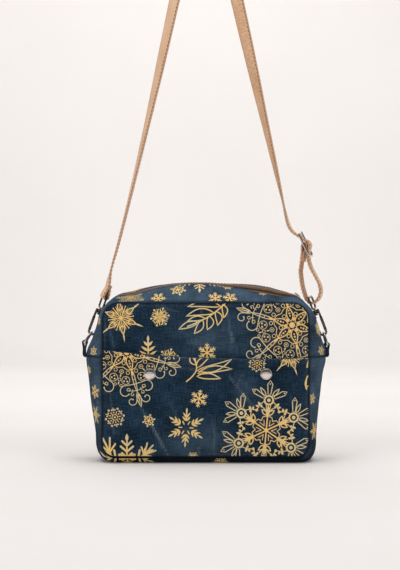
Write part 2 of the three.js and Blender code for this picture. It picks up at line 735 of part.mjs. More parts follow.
// Sprung bar that closes the hook's mouth, drawn in the hook's plane and given its thickness.
function hookLever(side) {
  const half = LEVER.width / 2;
  const outline = new THREE.Shape();
  outline.absarc(LEVER.pivotOut, LEVER.pivotUp, LEVER.boss, -Math.PI / 3.5, Math.PI * 1.14);
  outline.lineTo(-HOOK.half - half, LEVER.end + LEVER_TOE.height);
  outline.lineTo(-HOOK.half - half * LEVER_TOE.share, LEVER.end);
  outline.lineTo(-HOOK.half + half, LEVER.end);
  outline.closePath();
  const hole = new THREE.Path().absarc(LEVER.pivotOut, LEVER.pivotUp, LEVER.hole, 0, 2 * Math.PI);
  outline.holes.push(hole);
  const settings = { depth: LEVER.thick, bevelEnabled: false, curveSegments: SIDES.bend };
  const lever = new THREE.ExtrudeGeometry(outline, settings);
  lever.rotateX(Math.PI / 2).translate(0, LEVER.thick / 2, 0);
  return onHook(lever, side);
}

// Direction along the eye's upper bar: across the strap, turned with it.
function eyeAcross(side) {
  const turn = THREE.MathUtils.degToRad(STRAP_END_TURN[handOf(side)]);
  return new THREE.Vector3(0, -1, 0).applyAxisAngle(hookPlace(side).up, turn);
}

// Swivel eye: a loop that widens upward from its post, and the post's head under the barrel.
function hookEye(side) {
  const { origin, up } = hookPlace(side);
  const across = eyeAcross(side);
  const { halfWidth: reach, foot, rise, low, high, corner } = EYE;
  const outline = new THREE.Path();
  outline.moveTo(-foot, low).lineTo(foot, low);
  outline.quadraticCurveTo(reach, low, reach, low + rise).lineTo(reach, high - corner);
  outline.quadraticCurveTo(reach, high, reach - corner, high).lineTo(corner - reach, high);
  outline.quadraticCurveTo(-reach, high, -reach, high - corner).lineTo(-reach, low + rise);
  outline.quadraticCurveTo(-reach, low, -foot, low);
  const points = outline.getPoints(4).slice(0, -1).map((point) => {
    return origin.clone().addScaledVector(across, point.x).addScaledVector(up, point.y);
  });
  const loop = wire(points, EYE.wire, across.clone().cross(up).normalize(), true);
  const level = (height) => origin.clone().addScaledVector(up, height);
  const headTop = -BARREL.height - GAP;
  const post = rod(level(low), level(headTop - POST.headHeight / 2), POST.radius, SIDES.wire);
  const head = rod(level(headTop), level(headTop - POST.headHeight), POST.head, SIDES.turned);
  return joined(loop, post, head);
}

// Middle of the ring's straight bar.
function ringBar(side) {
  const { out, up } = RING.bar[handOf(side)];
  return new THREE.Vector3(side * out, 0, up);
}

function dRing(side) {
  const bar = ringBar(side);
  const rise = hookSeat(side).sub(bar);
  const height = rise.length();
  rise.normalize();
  const { halfWidth: reach, corner } = RING;
  const outline = new THREE.Path();
  outline.moveTo(-reach + corner, 0).lineTo(reach - corner, 0);
  outline.quadraticCurveTo(reach, 0, reach, corner);
  outline.absellipse(0, corner, reach, height - corner, 0, Math.PI, false, 0);
  outline.quadraticCurveTo(-reach, 0, -reach + corner, 0);
  const points = outline.getPoints(5).map((point) => {
    return bar.clone().addScaledVector(ALONG_Y, point.x).addScaledVector(rise, point.y);
  });
  const spaced = points.filter((point, i) => i === 0 || point.distanceTo(points[i - 1]) > 1e-6).slice(0, -1);
  return wire(spaced, RING.wire, ALONG_Y.clone().cross(rise).normalize(), true);
}

// Folded canvas loop: a foot through the side seam, a rising leaf and an end that wraps the ring's bar.
function sideTab(side) {
  const bar = RING.bar[handOf(side)];
  const wrap = RING.wire + GAP + TAB.layer;
  const footLow = TAB.foot - TAB.footThick / 2;
  const footHigh = TAB.foot + TAB.footThick / 2;
  const leafBack = bar.out - TAB_LEAF.back;
  const leafFront = leafBack + 2 * TAB.layer;
  const leafHigh = bar.up - TAB_LEAF.drop;
  const outline = new THREE.Shape();
  outline.moveTo(TAB.inside, footLow).lineTo(leafFront - TAB.bend, footLow);
  outline.quadraticCurveTo(leafFront, footLow, leafFront, footLow + TAB.bend);
  outline.lineTo(leafFront + TAB_LEAF.lean, leafHigh);
  outline.absarc(bar.out, bar.up, wrap, -Math.PI / 12, Math.PI, false);
  outline.lineTo(leafBack, leafHigh).lineTo(leafBack, footHigh).lineTo(TAB.inside, footHigh);
  outline.closePath();
  outline.holes.push(new THREE.Path().absarc(bar.out, bar.up, RING.wire + GAP, 0, 2 * Math.PI));
  const settings = { depth: TAB.width, bevelEnabled: false, curveSegments: SIDES.bend };
  const tab = new THREE.ExtrudeGeometry(outline, settings);
  tab.rotateX(Math.PI / 2).translate(0, TAB.width / 2, 0);
  return facingOut(geometryOf(solidOf(tab)).scale(side, 1, 1));
}

// Strap and buckle

// The buckle's own directions: down its length and out of its plane.
const buckleTilt = THREE.MathUtils.degToRad(BUCKLE.tilt);
const buckleDown = new THREE.Vector3(Math.sin(buckleTilt), 0, -Math.cos(buckleTilt));
const buckleOut = new THREE.Vector3(Math.cos(buckleTilt), 0, Math.sin(buckleTilt));
const buckleMiddle = new THREE.Vector3(BUCKLE.out, 0, BUCKLE.up);

// Turns what was drawn in the plane through the middle of the depth to the loop's own plane.
const loopTurn = THREE.MathUtils.degToRad(STRAP_END_TURN.right);
const turnedLoop = new THREE.Matrix4()
  .makeTranslation(STRAP_END_TURN.axis, 0, 0)
  .multiply(new THREE.Matrix4().makeRotationZ(loopTurn))
  .multiply(new THREE.Matrix4().makeTranslation(-STRAP_END_TURN.axis, 0, 0));

// Point in the buckle's middle plane.
function buckleAt(down, out) {
  return buckleMiddle.clone().addScaledVector(buckleDown, down).addScaledVector(buckleOut, out);
}

function strapBuckle() {
  const { halfWidth: reach, halfLength: length, corner } = BUCKLE;
  const outline = new THREE.Path();
  outline.moveTo(-reach + corner, -length).lineTo(reach - corner, -length);
  outline.quadraticCurveTo(reach, -length, reach, -length + corner).lineTo(reach, length - corner);
  outline.quadraticCurveTo(reach, length, reach - corner, length).lineTo(-reach + corner, length);
  outline.quadraticCurveTo(-reach, length, -reach, length - corner).lineTo(-reach, -length + corner);
  outline.quadraticCurveTo(-reach, -length, -reach + corner, -length);
  const points = outline.getPoints(4).slice(0, -1).map((point) => {
    return buckleAt(point.y, 0).addScaledVector(ALONG_Y, point.x);
  });
  const frame = wire(points, BUCKLE.wire, buckleOut.clone().negate(), true);
  const end = (hand) => buckleAt(0, 0).addScaledVector(ALONG_Y, hand * reach);
  return joined(frame, rod(end(-1), end(1), BUCKLE.wire, SIDES.wire)).applyMatrix4(turnedLoop);
}

const prongRing = BUCKLE.wire + GAP + PRONG.wire;
const prongTip = -BUCKLE.halfLength - PRONG.overhang;

function prongArm(grow) {
  const radius = PRONG.wire + grow;
  return rod(buckleAt(-PRONG.root, prongRing), buckleAt(prongTip - grow, prongRing), radius, SIDES.wire);
}

function buckleProng() {
  const turns = spread(0, 2 * Math.PI, SIDES.turned).slice(0, -1);
  const points = turns.map((turn) => buckleAt(prongRing * Math.sin(turn), prongRing * Math.cos(turn)));
  return joined(wire(points, PRONG.wire, ALONG_Y, true), prongArm(0)).applyMatrix4(turnedLoop);
}

// Line of points between two ends, the first end left out.
function straight(start, end, spacing) {
  const steps = Math.max(1, Math.round(start.distanceTo(end) / spacing));
  return spread(0, 1, steps).slice(1).map((share) => start.clone().lerp(end, share));
}

// Half turn of the strap round a bar, from one side of it to the other.
function foldRound(centre, first, down, radius) {
  return spread(0, Math.PI, SIDES.bend).map((turn) => {
    return centre.clone()
      .addScaledVector(first, radius * Math.cos(turn))
      .addScaledVector(down, radius * Math.sin(turn));
  });
}

// Two legs of the strap beside a bar and the half turn between them, from the tail's end or back to it.
function foldedEnd(centre, inward, rise, bend, tail) {
  const layer = STRAP.thick / 2 + GAP / 2;
  const leg = (out, up) => centre.clone().addScaledVector(inward, out).addScaledVector(rise, up);
  const legUp = (hand) => [
    leg(hand * bend * TAIL.share, TAIL.spread),
    leg(hand * layer, TAIL.layered),
    leg(hand * layer, tail),
  ];
  return { legUp, turn: foldRound(centre, inward, rise.clone().negate(), bend) };
}

// Left end of the strap: tail, fold round the eye's bar, and the stretch beside the tail.
function strapLeftEnd() {
  const { origin, up } = hookPlace(HANDS.left);
  const inward = up.clone().cross(eyeAcross(HANDS.left)).normalize();
  if (inward.x < 0) inward.negate();
  const bar = origin.clone().addScaledVector(up, EYE.high);
  const bend = EYE.wire + 1.5 * GAP + STRAP.thick / 2;
  const { legUp, turn } = foldedEnd(bar, inward, up, bend, TAIL.left);
  return [...legUp(1).reverse(), ...turn, ...legUp(-1)];
}

// Half turn over the rail that also carries the strap from the left to the right.
function strapCrown() {
  const rail = STRAP.rail + STRAP.thick / 2;
  return spread(-Math.PI / 2, Math.PI / 2, SIDES.crown).map((turn) => {
    const x = (STRAP.advance * turn) / (Math.PI / 2);
    return new THREE.Vector3(x, rail * Math.sin(turn), HANG_HEIGHT - STRAP.rail + rail * Math.cos(turn));
  });
}

// Right end of the strap: the weave through the buckle, the loop through the eye, and the fold on the
// buckle's bar, drawn in the plane through the middle of the depth.
function strapRightEnd() {
  const half = STRAP.thick / 2;
  const { slope, slopeOut, shoulder, ease } = WEAVE;
  const under = -BUCKLE.wire - 1.5 * GAP - half - ease;
  const hump = BUCKLE.wire + STRAP.thick + 2.4 * GAP + half;
  const inPlane = ({ out, up }) => new THREE.Vector3(out, 0, up);
  const route = [
    ...RIGHT_BEND.map(inPlane),
    buckleAt(-BUCKLE.halfLength, under),
    buckleAt(-slope, slopeOut),
    buckleAt(-shoulder, hump - ease),
    buckleAt(0, hump + ease),
    buckleAt(shoulder, hump - ease),
    buckleAt(slope, slopeOut),
    buckleAt(BUCKLE.halfLength, under),
    ...LOOP_ROUTE.map(inPlane),
  ];
  const curve = new THREE.CatmullRomCurve3(route, false, "centripetal").getPoints(2.4 * route.length);
  const down = route[route.length - 1].clone().sub(buckleMiddle).normalize();
  const inward = down.clone().cross(ALONG_Y).normalize();
  const bend = BUCKLE.wire + 1.2 * GAP + half;
  const { legUp, turn } = foldedEnd(buckleMiddle, inward, down, bend, TAIL.right);
  const [spreadLeg, layeredLeg] = legUp(-1);
  return [...curve, layeredLeg, spreadLeg, ...turn.reverse(), ...legUp(1)];
}

// Stations along the strap's middle, each with the direction across the strap.
function strapStations() {
  const left = strapLeftEnd();
  const crown = strapCrown();
  const right = strapRightEnd().map((point) => point.applyMatrix4(turnedLoop));
  const rise = [left[left.length - 1], ...LEFT_RISE.map(({ out, up }) => new THREE.Vector3(out, 0, up))];
  const bend = new THREE.CatmullRomCurve3(rise, false, "centripetal").getPoints(5).slice(1);
  const rising = straight(rise[rise.length - 1], crown[0], STRAP.spacing);
  const falling = straight(crown[crown.length - 1], right[0], STRAP.spacing);
  const leftBranch = [...left, ...bend, ...rising];
  const points = [...leftBranch, ...crown.slice(1), ...falling, ...right.slice(1)];
  const tangents = tangentsOf(points);
  const ending = points.length - right.length;
  return points.map((point, i) => {
    const branch = i < leftBranch.length ? "left" : "right";
    const turn = i > ending ? STRAP_END_TURN.right : readTable(STRAP_TWIST, "up", branch, point.z);
    const angle = THREE.MathUtils.degToRad(turn);
    const across = i < left.length
      ? eyeAcross(HANDS.left)
      : new THREE.Vector3(Math.sin(angle), -Math.cos(angle), 0);
    across.addScaledVector(tangents[i], -across.dot(tangents[i])).normalize();
    return { point, across, tangent: tangents[i] };
  });
}

function shoulderStrap() {
  const half = STRAP.thick / 2;
  const reach = STRAP.width / 2;
  const { chamfer } = STRAP;
  const section = [
    [-reach, chamfer - half], [chamfer - reach, -half], [reach - chamfer, -half], [reach, chamfer - half],
    [reach, half - chamfer], [reach - chamfer, half], [chamfer - reach, half], [-reach, half - chamfer],
  ];
  const rings = strapStations().map(({ point, across, tangent }) => {
    const thick = tangent.clone().cross(across).normalize();
    return section.map(([a, b]) => point.clone().addScaledVector(across, a).addScaledVector(thick, b));
  });
  const slotEnd = (hand) => buckleMiddle.clone().addScaledVector(ALONG_Y, (hand * PRONG.slot) / 2);
  const slot = rod(slotEnd(-1), slotEnd(1), prongRing + PRONG.wire + GAP / 2);
  const tools = [slot, prongArm(1.5 * GAP)].map((tool) => tool.applyMatrix4(turnedLoop));
  return cut(loft(rings), ...tools);
}

// Assembly

const standing = new THREE.Group();
standing.position.z = -HANG_HEIGHT;
standing.add(
  piece("front_panel", frontPanel(), FINISH.canvas),
  piece("front_pocket", frontPocket(), FINISH.canvas),
  piece("back_panel", backPanel(), FINISH.canvas),
  piece("base_gusset", baseGusset(), FINISH.canvas),
  piece("zip_strip_front", zipStrip(-1), FINISH.canvas),
  piece("zip_strip_back", zipStrip(1), FINISH.canvas),
  piece("zipper_tape", zipperTape(), FINISH.zipTape),
  piece("zipper_teeth", zipperTeeth(), FINISH.zipTeeth),
  piece("zip_slider", zipSlider(), FINISH.zipTeeth),
  piece("shoulder_strap", shoulderStrap(), FINISH.leather),
  piece("strap_buckle", strapBuckle(), FINISH.nickel),
  piece("buckle_prong", buckleProng(), FINISH.nickel),
);
for (const [hand, side] of Object.entries(HANDS)) {
  standing.add(
    piece(`pocket_snap_${hand}`, pocketSnap(SNAP.places[hand]), FINISH.nickel),
    piece(`side_tab_${hand}`, sideTab(side), FINISH.canvas),
    piece(`d_ring_${hand}`, dRing(side), FINISH.nickel),
    piece(`hook_${hand}`, hookBody(side), FINISH.nickel),
    piece(`hook_lever_${hand}`, hookLever(side), FINISH.nickel),
    piece(`hook_eye_${hand}`, hookEye(side), FINISH.nickel),
  );
}

const bag = new THREE.Group();
bag.add(standing);
export default bag;
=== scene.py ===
"""Looks of a printed canvas shoulder bag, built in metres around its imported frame.

Sizes inside the classes are millimetres, and heights are measured from the bag's base.
"""

import logging
import math
from collections.abc import Callable, Sequence
from dataclasses import dataclass, field
from enum import Enum
from typing import Any, Union

import bmesh
import bpy
import numpy as np
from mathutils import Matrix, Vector
from mathutils.geometry import delaunay_2d_cdt


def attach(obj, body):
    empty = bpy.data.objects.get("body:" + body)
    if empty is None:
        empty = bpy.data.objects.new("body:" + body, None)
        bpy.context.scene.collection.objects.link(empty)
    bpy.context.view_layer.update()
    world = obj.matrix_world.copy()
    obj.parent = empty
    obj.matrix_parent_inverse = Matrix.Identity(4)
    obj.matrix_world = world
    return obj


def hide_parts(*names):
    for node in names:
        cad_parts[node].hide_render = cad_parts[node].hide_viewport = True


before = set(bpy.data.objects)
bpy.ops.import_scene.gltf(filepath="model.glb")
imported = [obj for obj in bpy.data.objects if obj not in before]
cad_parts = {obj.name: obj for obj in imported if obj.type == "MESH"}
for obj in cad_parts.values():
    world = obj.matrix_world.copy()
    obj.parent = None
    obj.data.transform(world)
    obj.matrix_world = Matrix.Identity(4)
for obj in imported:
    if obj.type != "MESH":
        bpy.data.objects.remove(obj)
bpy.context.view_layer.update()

LOG = logging.getLogger("shoulder_bag")
Array = np.ndarray
Place = Callable[[Array, Array], Array]
Route = tuple[tuple[float, float], ...]

MM = 0.001
HANG_HEIGHT = 640.0
GAP = 0.35
DEPTH = np.array([0, 1.0, 0])
UP = np.array([0, 0, 1.0])
FACING_FRONT = np.array([[1.0, 0, 0], [0, 0, 1.0], [0, -1.0, 0]])
SHARP_ANGLE = math.radians(42)
CLOTH_MAP = "cloth"
MAP_UNIT = 100.0
FULL_LEVEL = 255
RIDGE = "start_x start_z end_x end_z reach rise"


class Side(Enum):
    """The bag's two sides, seen from the front."""

    LEFT = -1
    RIGHT = 1

    @property
    def word(self) -> str:
        """Name of the side as the frame's nodes spell it."""
        return self.name.lower()


class Body(Enum):
    """Bodies of the frame that pieces ride on."""

    BAG = "bag"
    LEVER_LEFT = "lever_left"
    LEVER_RIGHT = "lever_right"


# Numbers over a surface


def smoothstep(low: float, high: float, value: Array) -> Array:
    """Smooth rise from 0 at low to 1 at high."""
    share = np.clip((value - low) / (high - low), 0, 1)
    return share * share * (3 - 2 * share)


def hump(offset: Array, reach: float) -> Array:
    """Smooth hump, 1 where the offset is 0, that fades over a reach."""
    return np.exp(-((offset / reach) ** 2))


def unit(vectors: Array) -> Array:
    """Vectors scaled to a length of one."""
    return vectors / np.maximum(np.linalg.norm(vectors, axis=-1, keepdims=True), 1e-12)


def turns(count: int) -> Array:
    """Angles spaced evenly round a full turn."""
    return np.linspace(0, 2 * np.pi, count, endpoint=False)


def travelled(points: Array) -> Array:
    """Length along a line at each of its points."""
    return np.concatenate([[0], np.cumsum(np.linalg.norm(np.diff(points, axis=0), axis=1))])


def spokes(turn: Array, across: Array, up: Array) -> Array:
    """Directions at angles from across towards up, for every point of a line."""
    return np.cos(turn)[None, :, None] * across[:, None] + np.sin(turn)[None, :, None] * up[:, None]


def stacked(*parts: Array | float) -> Array:
    """Points from their coordinates, which are spread over each other."""
    return np.stack(np.broadcast_arrays(*parts), -1)


def arc(centre: Sequence[float], radii: float | Sequence[float], turn: Array) -> Array:
    """Points of a circle or an oval at angles about its centre."""
    return centre + radii * stacked(np.cos(turn), np.sin(turn))


def ripple(u: Array, v: Array, size: float, seed: float) -> Array:
    """Soft unevenness over a surface.

    Args:
        u: First coordinate.
        v: Second coordinate.
        size: Distance between neighbouring ups and downs.
        seed: Number that sets this unevenness apart from others.

    Returns:
        Values from -1 to 1.
    """
    x, y = u / size + 17.13 * seed, v / size + 9.71 * seed
    left, low = np.floor(x), np.floor(y)
    across, up = smoothstep(0, 1, x - left), smoothstep(0, 1, y - low)

    def corner(right: int, above: int) -> Array:
        """Value at a corner of the cell."""
        mixed = np.sin((left + right) * 127.1 + (low + above) * 311.7) * 43758.5453
        return 2 * (mixed - np.floor(mixed)) - 1

    below = corner(0, 0) * (1 - across) + corner(1, 0) * across
    over = corner(0, 1) * (1 - across) + corner(1, 1) * across
    return below * (1 - up) + over * up


def eased(start: float, end: float, steps: int, crowd: float = 0.6) -> Array:
    """Places from start to end, closer together near both ends."""
    share = np.linspace(0, 1, steps + 1)
    round_share = 0.5 - 0.5 * np.cos(np.pi * share)
    return start + (end - start) * (crowd * round_share + (1 - crowd) * share)


@dataclass(frozen=True)
class Table:
    """Rows of named columns, read between the rows by smooth cubic pieces."""

    columns: str
    rows: tuple[tuple[float, ...], ...]

    def column(self, name: str) -> Array:
        """All values of one column."""
        return np.array([row[self.columns.split().index(name)] for row in self.rows])

    def read(self, name: str, place: Array | float) -> Array:
        """Value of a column at any place along the first column.

        Args:
            name: Column to read.
            place: Where to read it.

        Returns:
            Values with the shape of place.
        """
        keys, values = self.column(self.columns.split()[0]), self.column(name)
        rise = np.diff(values) / np.diff(keys)
        agree = rise[:-1] * rise[1:] > 0
        total = np.where(agree, rise[:-1] + rise[1:], 1)
        slope = np.zeros(len(keys))
        slope[1:-1] = np.where(agree, 2 * rise[:-1] * rise[1:] / total, 0)
        inside = np.clip(place, keys[0], keys[-1])
        row = np.clip(np.searchsorted(keys, inside, side="right") - 1, 0, len(keys) - 2)
        span = keys[row + 1] - keys[row]
        t = (inside - keys[row]) / span
        ends = (2 * t**3 - 3 * t**2 + 1) * values[row] + (3 * t**2 - 2 * t**3) * values[row + 1]
        bends = (t**3 - 2 * t**2 + t) * slope[row] + (t**3 - t**2) * slope[row + 1]
        return ends + span * bends

    def ridges(self, x: Array, z: Array) -> Array:
        """Height of soft ridges, one for each row with RIDGE's columns."""
        total = np.zeros(np.broadcast(x, z).shape)
        for start_x, start_z, end_x, end_z, reach, rise in self.rows:
            length = np.hypot(end_x - start_x, end_z - start_z)
            way_x, way_z = (end_x - start_x) / length, (end_z - start_z) / length
            share = np.clip(((x - start_x) * way_x + (z - start_z) * way_z) / length, 0, 1)
            off_x = x - start_x - share * length * way_x
            off_z = z - start_z - share * length * way_z
            taper = np.sin(np.pi * (0.15 + 0.7 * share))
            total = total + rise * taper * np.exp(-(off_x**2 + off_z**2) / reach**2)
        return total


# Meshes


@dataclass
class Shape:
    """Points and faces of a piece, with each point's place on the flat cloth and named marks."""

    points: Array
    faces: list[tuple[int, ...]]
    places: Array | None = None
    marks: dict[str, Array] = field(default_factory=dict)

    def mesh(self, name: str) -> bpy.types.Mesh:
        """Makes a closed, smoothly shaded mesh in metres.

        Args:
            name: Name of the mesh.

        Returns:
            The mesh, with its faces turned outward.
        """
        mesh = bpy.data.meshes.new(name)
        mesh.from_pydata(((self.points - (0, 0, HANG_HEIGHT)) * MM).tolist(), [], self.faces)
        if self.places is not None:
            corners = np.empty(len(mesh.loops), np.int32)
            mesh.loops.foreach_get("vertex_index", corners)
            layer = mesh.uv_layers.new(name=CLOTH_MAP)
            layer.data.foreach_set("uv", (self.places[corners] / MAP_UNIT).ravel().astype(np.float32))
        for key, values in self.marks.items():
            mark = mesh.attributes.new(key, "FLOAT", "POINT")
            mark.data.foreach_set("value", values.ravel().astype(np.float32))
        work = bmesh.new()
        work.from_mesh(mesh)
        bmesh.ops.recalc_face_normals(work, faces=work.faces)
        work.to_mesh(mesh)
        work.free()
        mesh.shade_smooth()
        mesh.set_sharp_from_angle(angle=SHARP_ANGLE)
        return mesh


def joined(shapes: Sequence[Shape]) -> Shape:
    """Puts several shapes into one.

    Args:
        shapes: Shapes that all carry the same places and marks, or none.

    Returns:
        One shape with every point and face.
    """
    faces: list[tuple[int, ...]] = []
    count = 0
    for shape in shapes:
        faces += [tuple(corner + count for corner in face) for face in shape.faces]
        count += len(shape.points)
    points = np.concatenate([shape.points for shape in shapes])
    places = None if shapes[0].places is None else np.concatenate([shape.places for shape in shapes])
    marks = {key: np.concatenate([shape.marks[key] for shape in shapes]) for key in shapes[0].marks}
    return Shape(points, faces, places, marks)


def shell(outer: Array, inner: Array, places: Array, marks: dict[str, Array] | None = None) -> Shape:
    """Wall between two grids of points, closed round its rim.

    Args:
        outer: Grid of outside points.
        inner: Grid of inside points.
        places: Grid of places on the flat cloth.
        marks: Grids of named values.

    Returns:
        The closed wall.
    """
    rows, columns = outer.shape[:2]
    count = rows * columns
    index = np.arange(count).reshape(rows, columns)
    skin = stacked(index[:-1, :-1], index[1:, :-1], index[1:, 1:], index[:-1, 1:]).reshape(-1, 4)
    rim = np.concatenate([index[0], index[1:, -1], index[-1, -2::-1], index[-2:0:-1, 0]])
    after = np.roll(rim, -1)
    edge = stacked(rim, after, after + count, rim + count)
    faces = np.concatenate([skin, skin[:, ::-1] + count, edge]).tolist()
    both = {key: np.tile(values.ravel(), 2) for key, values in (marks or {}).items()}
    points = np.concatenate([outer.reshape(-1, 3), inner.reshape(-1, 3)])
    return Shape(points, [tuple(face) for face in faces], np.tile(places.reshape(-1, 2), (2, 1)), both)


def loft(rings: Array, closed: bool = False) -> Shape:
    """Skin through rings with equal corner counts.

    Args:
        rings: Array of rings, corners and coordinates.
        closed: Whether the last ring joins the first.

    Returns:
        The skin, with a cap on each end unless it closes on itself.
    """
    count, corners = rings.shape[:2]
    index = np.arange(count * corners).reshape(count, corners)
    here = index if closed else index[:-1]
    there = np.roll(index, -1, axis=0) if closed else index[1:]
    skin = stacked(here, np.roll(here, -1, axis=1), np.roll(there, -1, axis=1), there)
    faces = [tuple(face) for face in skin.reshape(-1, 4).tolist()]
    if not closed:
        faces += [tuple(index[0, ::-1].tolist()), tuple(index[-1].tolist())]
    return Shape(rings.reshape(-1, 3), faces)


def tangents(points: Array, closed: bool = False) -> Array:
    """Directions of travel along a line of points."""
    if closed:
        return unit(np.roll(points, -1, axis=0) - np.roll(points, 1, axis=0))
    return unit(np.gradient(points, axis=0))


def wire(points: Array, radius: float, normal: Array, closed: bool = False, sides: int = 16) -> Shape:
    """Round wire along a flat line of points, with rounded ends.

    Args:
        points: The line's points.
        radius: Radius of the wire.
        normal: Direction out of the line's plane.
        closed: Whether the line is a loop.
        sides: Corners round the wire.

    Returns:
        The wire.
    """
    radii = np.full(len(points), radius)
    if not closed:
        ends = tangents(points)
        reach = radius * np.array([0.95, 0.7, 0.3])
        start = points[0] - reach[:, None] * ends[0]
        finish = points[-1] + reach[::-1, None] * ends[-1]
        thin = np.sqrt(radius**2 - reach**2)
        points = np.concatenate([start, points, finish])
        radii = np.concatenate([thin, radii, thin[::-1]])
    across = unit(np.cross(normal, tangents(points, closed)))
    out = np.broadcast_to(unit(normal), across.shape)
    return loft(points[:, None] + radii[:, None, None] * spokes(turns(sides), across, out), closed)


def lathe(profile: Sequence[tuple[float, float]], sides: int, hollow: bool = False) -> Shape:
    """Turned form about Z.

    Args:
        profile: Radius and height of each ring, from one end to the other.
        sides: Corners round the axis.
        hollow: Whether the profile's ends meet, which leaves a bore.

    Returns:
        The closed form, with a cap wherever an open profile ends off the axis.
    """
    turn = turns(sides)
    radius, height = np.array(profile).T
    ring = stacked(np.cos(turn), np.sin(turn), np.zeros(sides))
    return loft(np.maximum(radius, 1e-3)[:, None, None] * ring + height[:, None, None] * UP, hollow)


def rounded_box(size: Sequence[float], corner: float) -> Shape:
    """Box about its own middle with rounded edges.

    Args:
        size: Length along each axis.
        corner: Radius of the edges.

    Returns:
        The box.
    """
    half = np.array(size) / 2 - corner
    work = bmesh.new()
    bmesh.ops.create_icosphere(work, subdivisions=3, radius=1)
    work.verts.index_update()
    points = np.array([vertex.co for vertex in work.verts])
    faces = [tuple(vertex.index for vertex in face.verts) for face in work.faces]
    work.free()
    square = np.sign(points) * np.minimum(np.abs(points) * 4, 1)
    return Shape(square * half + points * corner, faces)


def moved(shape: Shape, origin: Array | Sequence[float], axes: Array = np.eye(3)) -> Shape:
    """Shape carried from its own axes to a place on the bag."""
    return Shape(origin + shape.points @ axes, shape.faces, shape.places, shape.marks)


def linked(name: str, data: bpy.types.ID) -> bpy.types.Object:
    """New object in the scene."""
    item = bpy.data.objects.new(name, data)
    bpy.context.scene.collection.objects.link(item)
    return item


def fused(name: str, shapes: Sequence[Shape], grain: float, smoothing: int = 6) -> bpy.types.Mesh:
    """Melts overlapping shapes into one cast-looking skin.

    Args:
        name: Name of the mesh.
        shapes: Closed shapes that overlap where they meet.
        grain: Size of the cells that the skin is built from.
        smoothing: Rounds of smoothing.

    Returns:
        One closed mesh in metres.
    """
    holder = linked(name, joined(shapes).mesh(name))
    melt = holder.modifiers.new("melt", "REMESH")
    melt.mode = "VOXEL"
    melt.voxel_size = grain * MM
    ease = holder.modifiers.new("ease", "SMOOTH")
    ease.factor = 0.5
    ease.iterations = smoothing
    mesh = settled(holder)
    bpy.data.objects.remove(holder)
    mesh.shade_smooth()
    return mesh


def settled(piece: bpy.types.Object) -> bpy.types.Mesh:
    """New mesh of an object with its modifiers worked in."""
    bpy.context.view_layer.update()
    return bpy.data.meshes.new_from_object(piece.evaluated_get(bpy.context.evaluated_depsgraph_get()))


def carve(piece: bpy.types.Object, cutters: Sequence[Shape]) -> None:
    """Cuts shapes out of a piece.

    Args:
        piece: Object that is cut.
        cutters: Closed shapes to take away.
    """
    tools = []
    for number, cutter in enumerate(cutters):
        tool = linked(f"cutter_{number}", cutter.mesh("cutter"))
        cut = piece.modifiers.new(f"cut_{number}", "BOOLEAN")
        cut.operation = "DIFFERENCE"
        cut.solver = "EXACT"
        cut.object = tool
        tools.append(tool)
    whole = piece.data
    piece.data = settled(piece)
    piece.modifiers.clear()
    bpy.data.meshes.remove(whole)
    for tool in tools:
        bpy.data.objects.remove(tool)


# Shader maths


Number = Union["Value", float]


class Value:
    """A node's output socket, with operators that add Math nodes."""

    def __init__(self, graph: "Graph", socket: bpy.types.NodeSocket) -> None:
        """Keeps the socket and the graph that it belongs to."""
        self.graph = graph
        self.socket = socket

    def maths(self, operation: str, *others: Number) -> "Value":
        """Result of a Math node that takes this value first."""
        return self.graph.add("ShaderNodeMath", {"operation": operation}, [self, *others])

    def __add__(self, other: Number) -> "Value":
        """Sum of two values."""
        return self.maths("ADD", other)

    def __mul__(self, other: Number) -> "Value":
        """Product of two values."""
        return self.maths("MULTIPLY", other)

    def __sub__(self, other: Number) -> "Value":
        """Difference of two values."""
        return self.maths("SUBTRACT", other)

    def __rsub__(self, other: float) -> "Value":
        """A number less this value."""
        return self.graph.add("ShaderNodeMath", {"operation": "SUBTRACT"}, [other, self])

    __radd__ = __add__
    __rmul__ = __mul__

    def sine(self) -> "Value":
        """Sine of the value."""
        return self.maths("SINE")

    def between(self, low: float, high: float) -> "Value":
        """Smooth rise from 0 where the value is low to 1 where it is high."""
        settings = {"interpolation_type": "SMOOTHSTEP"}
        return self.graph.add("ShaderNodeMapRange", settings, {"Value": self, 1: low, 2: high})


Feed = Value | float | Sequence[float]


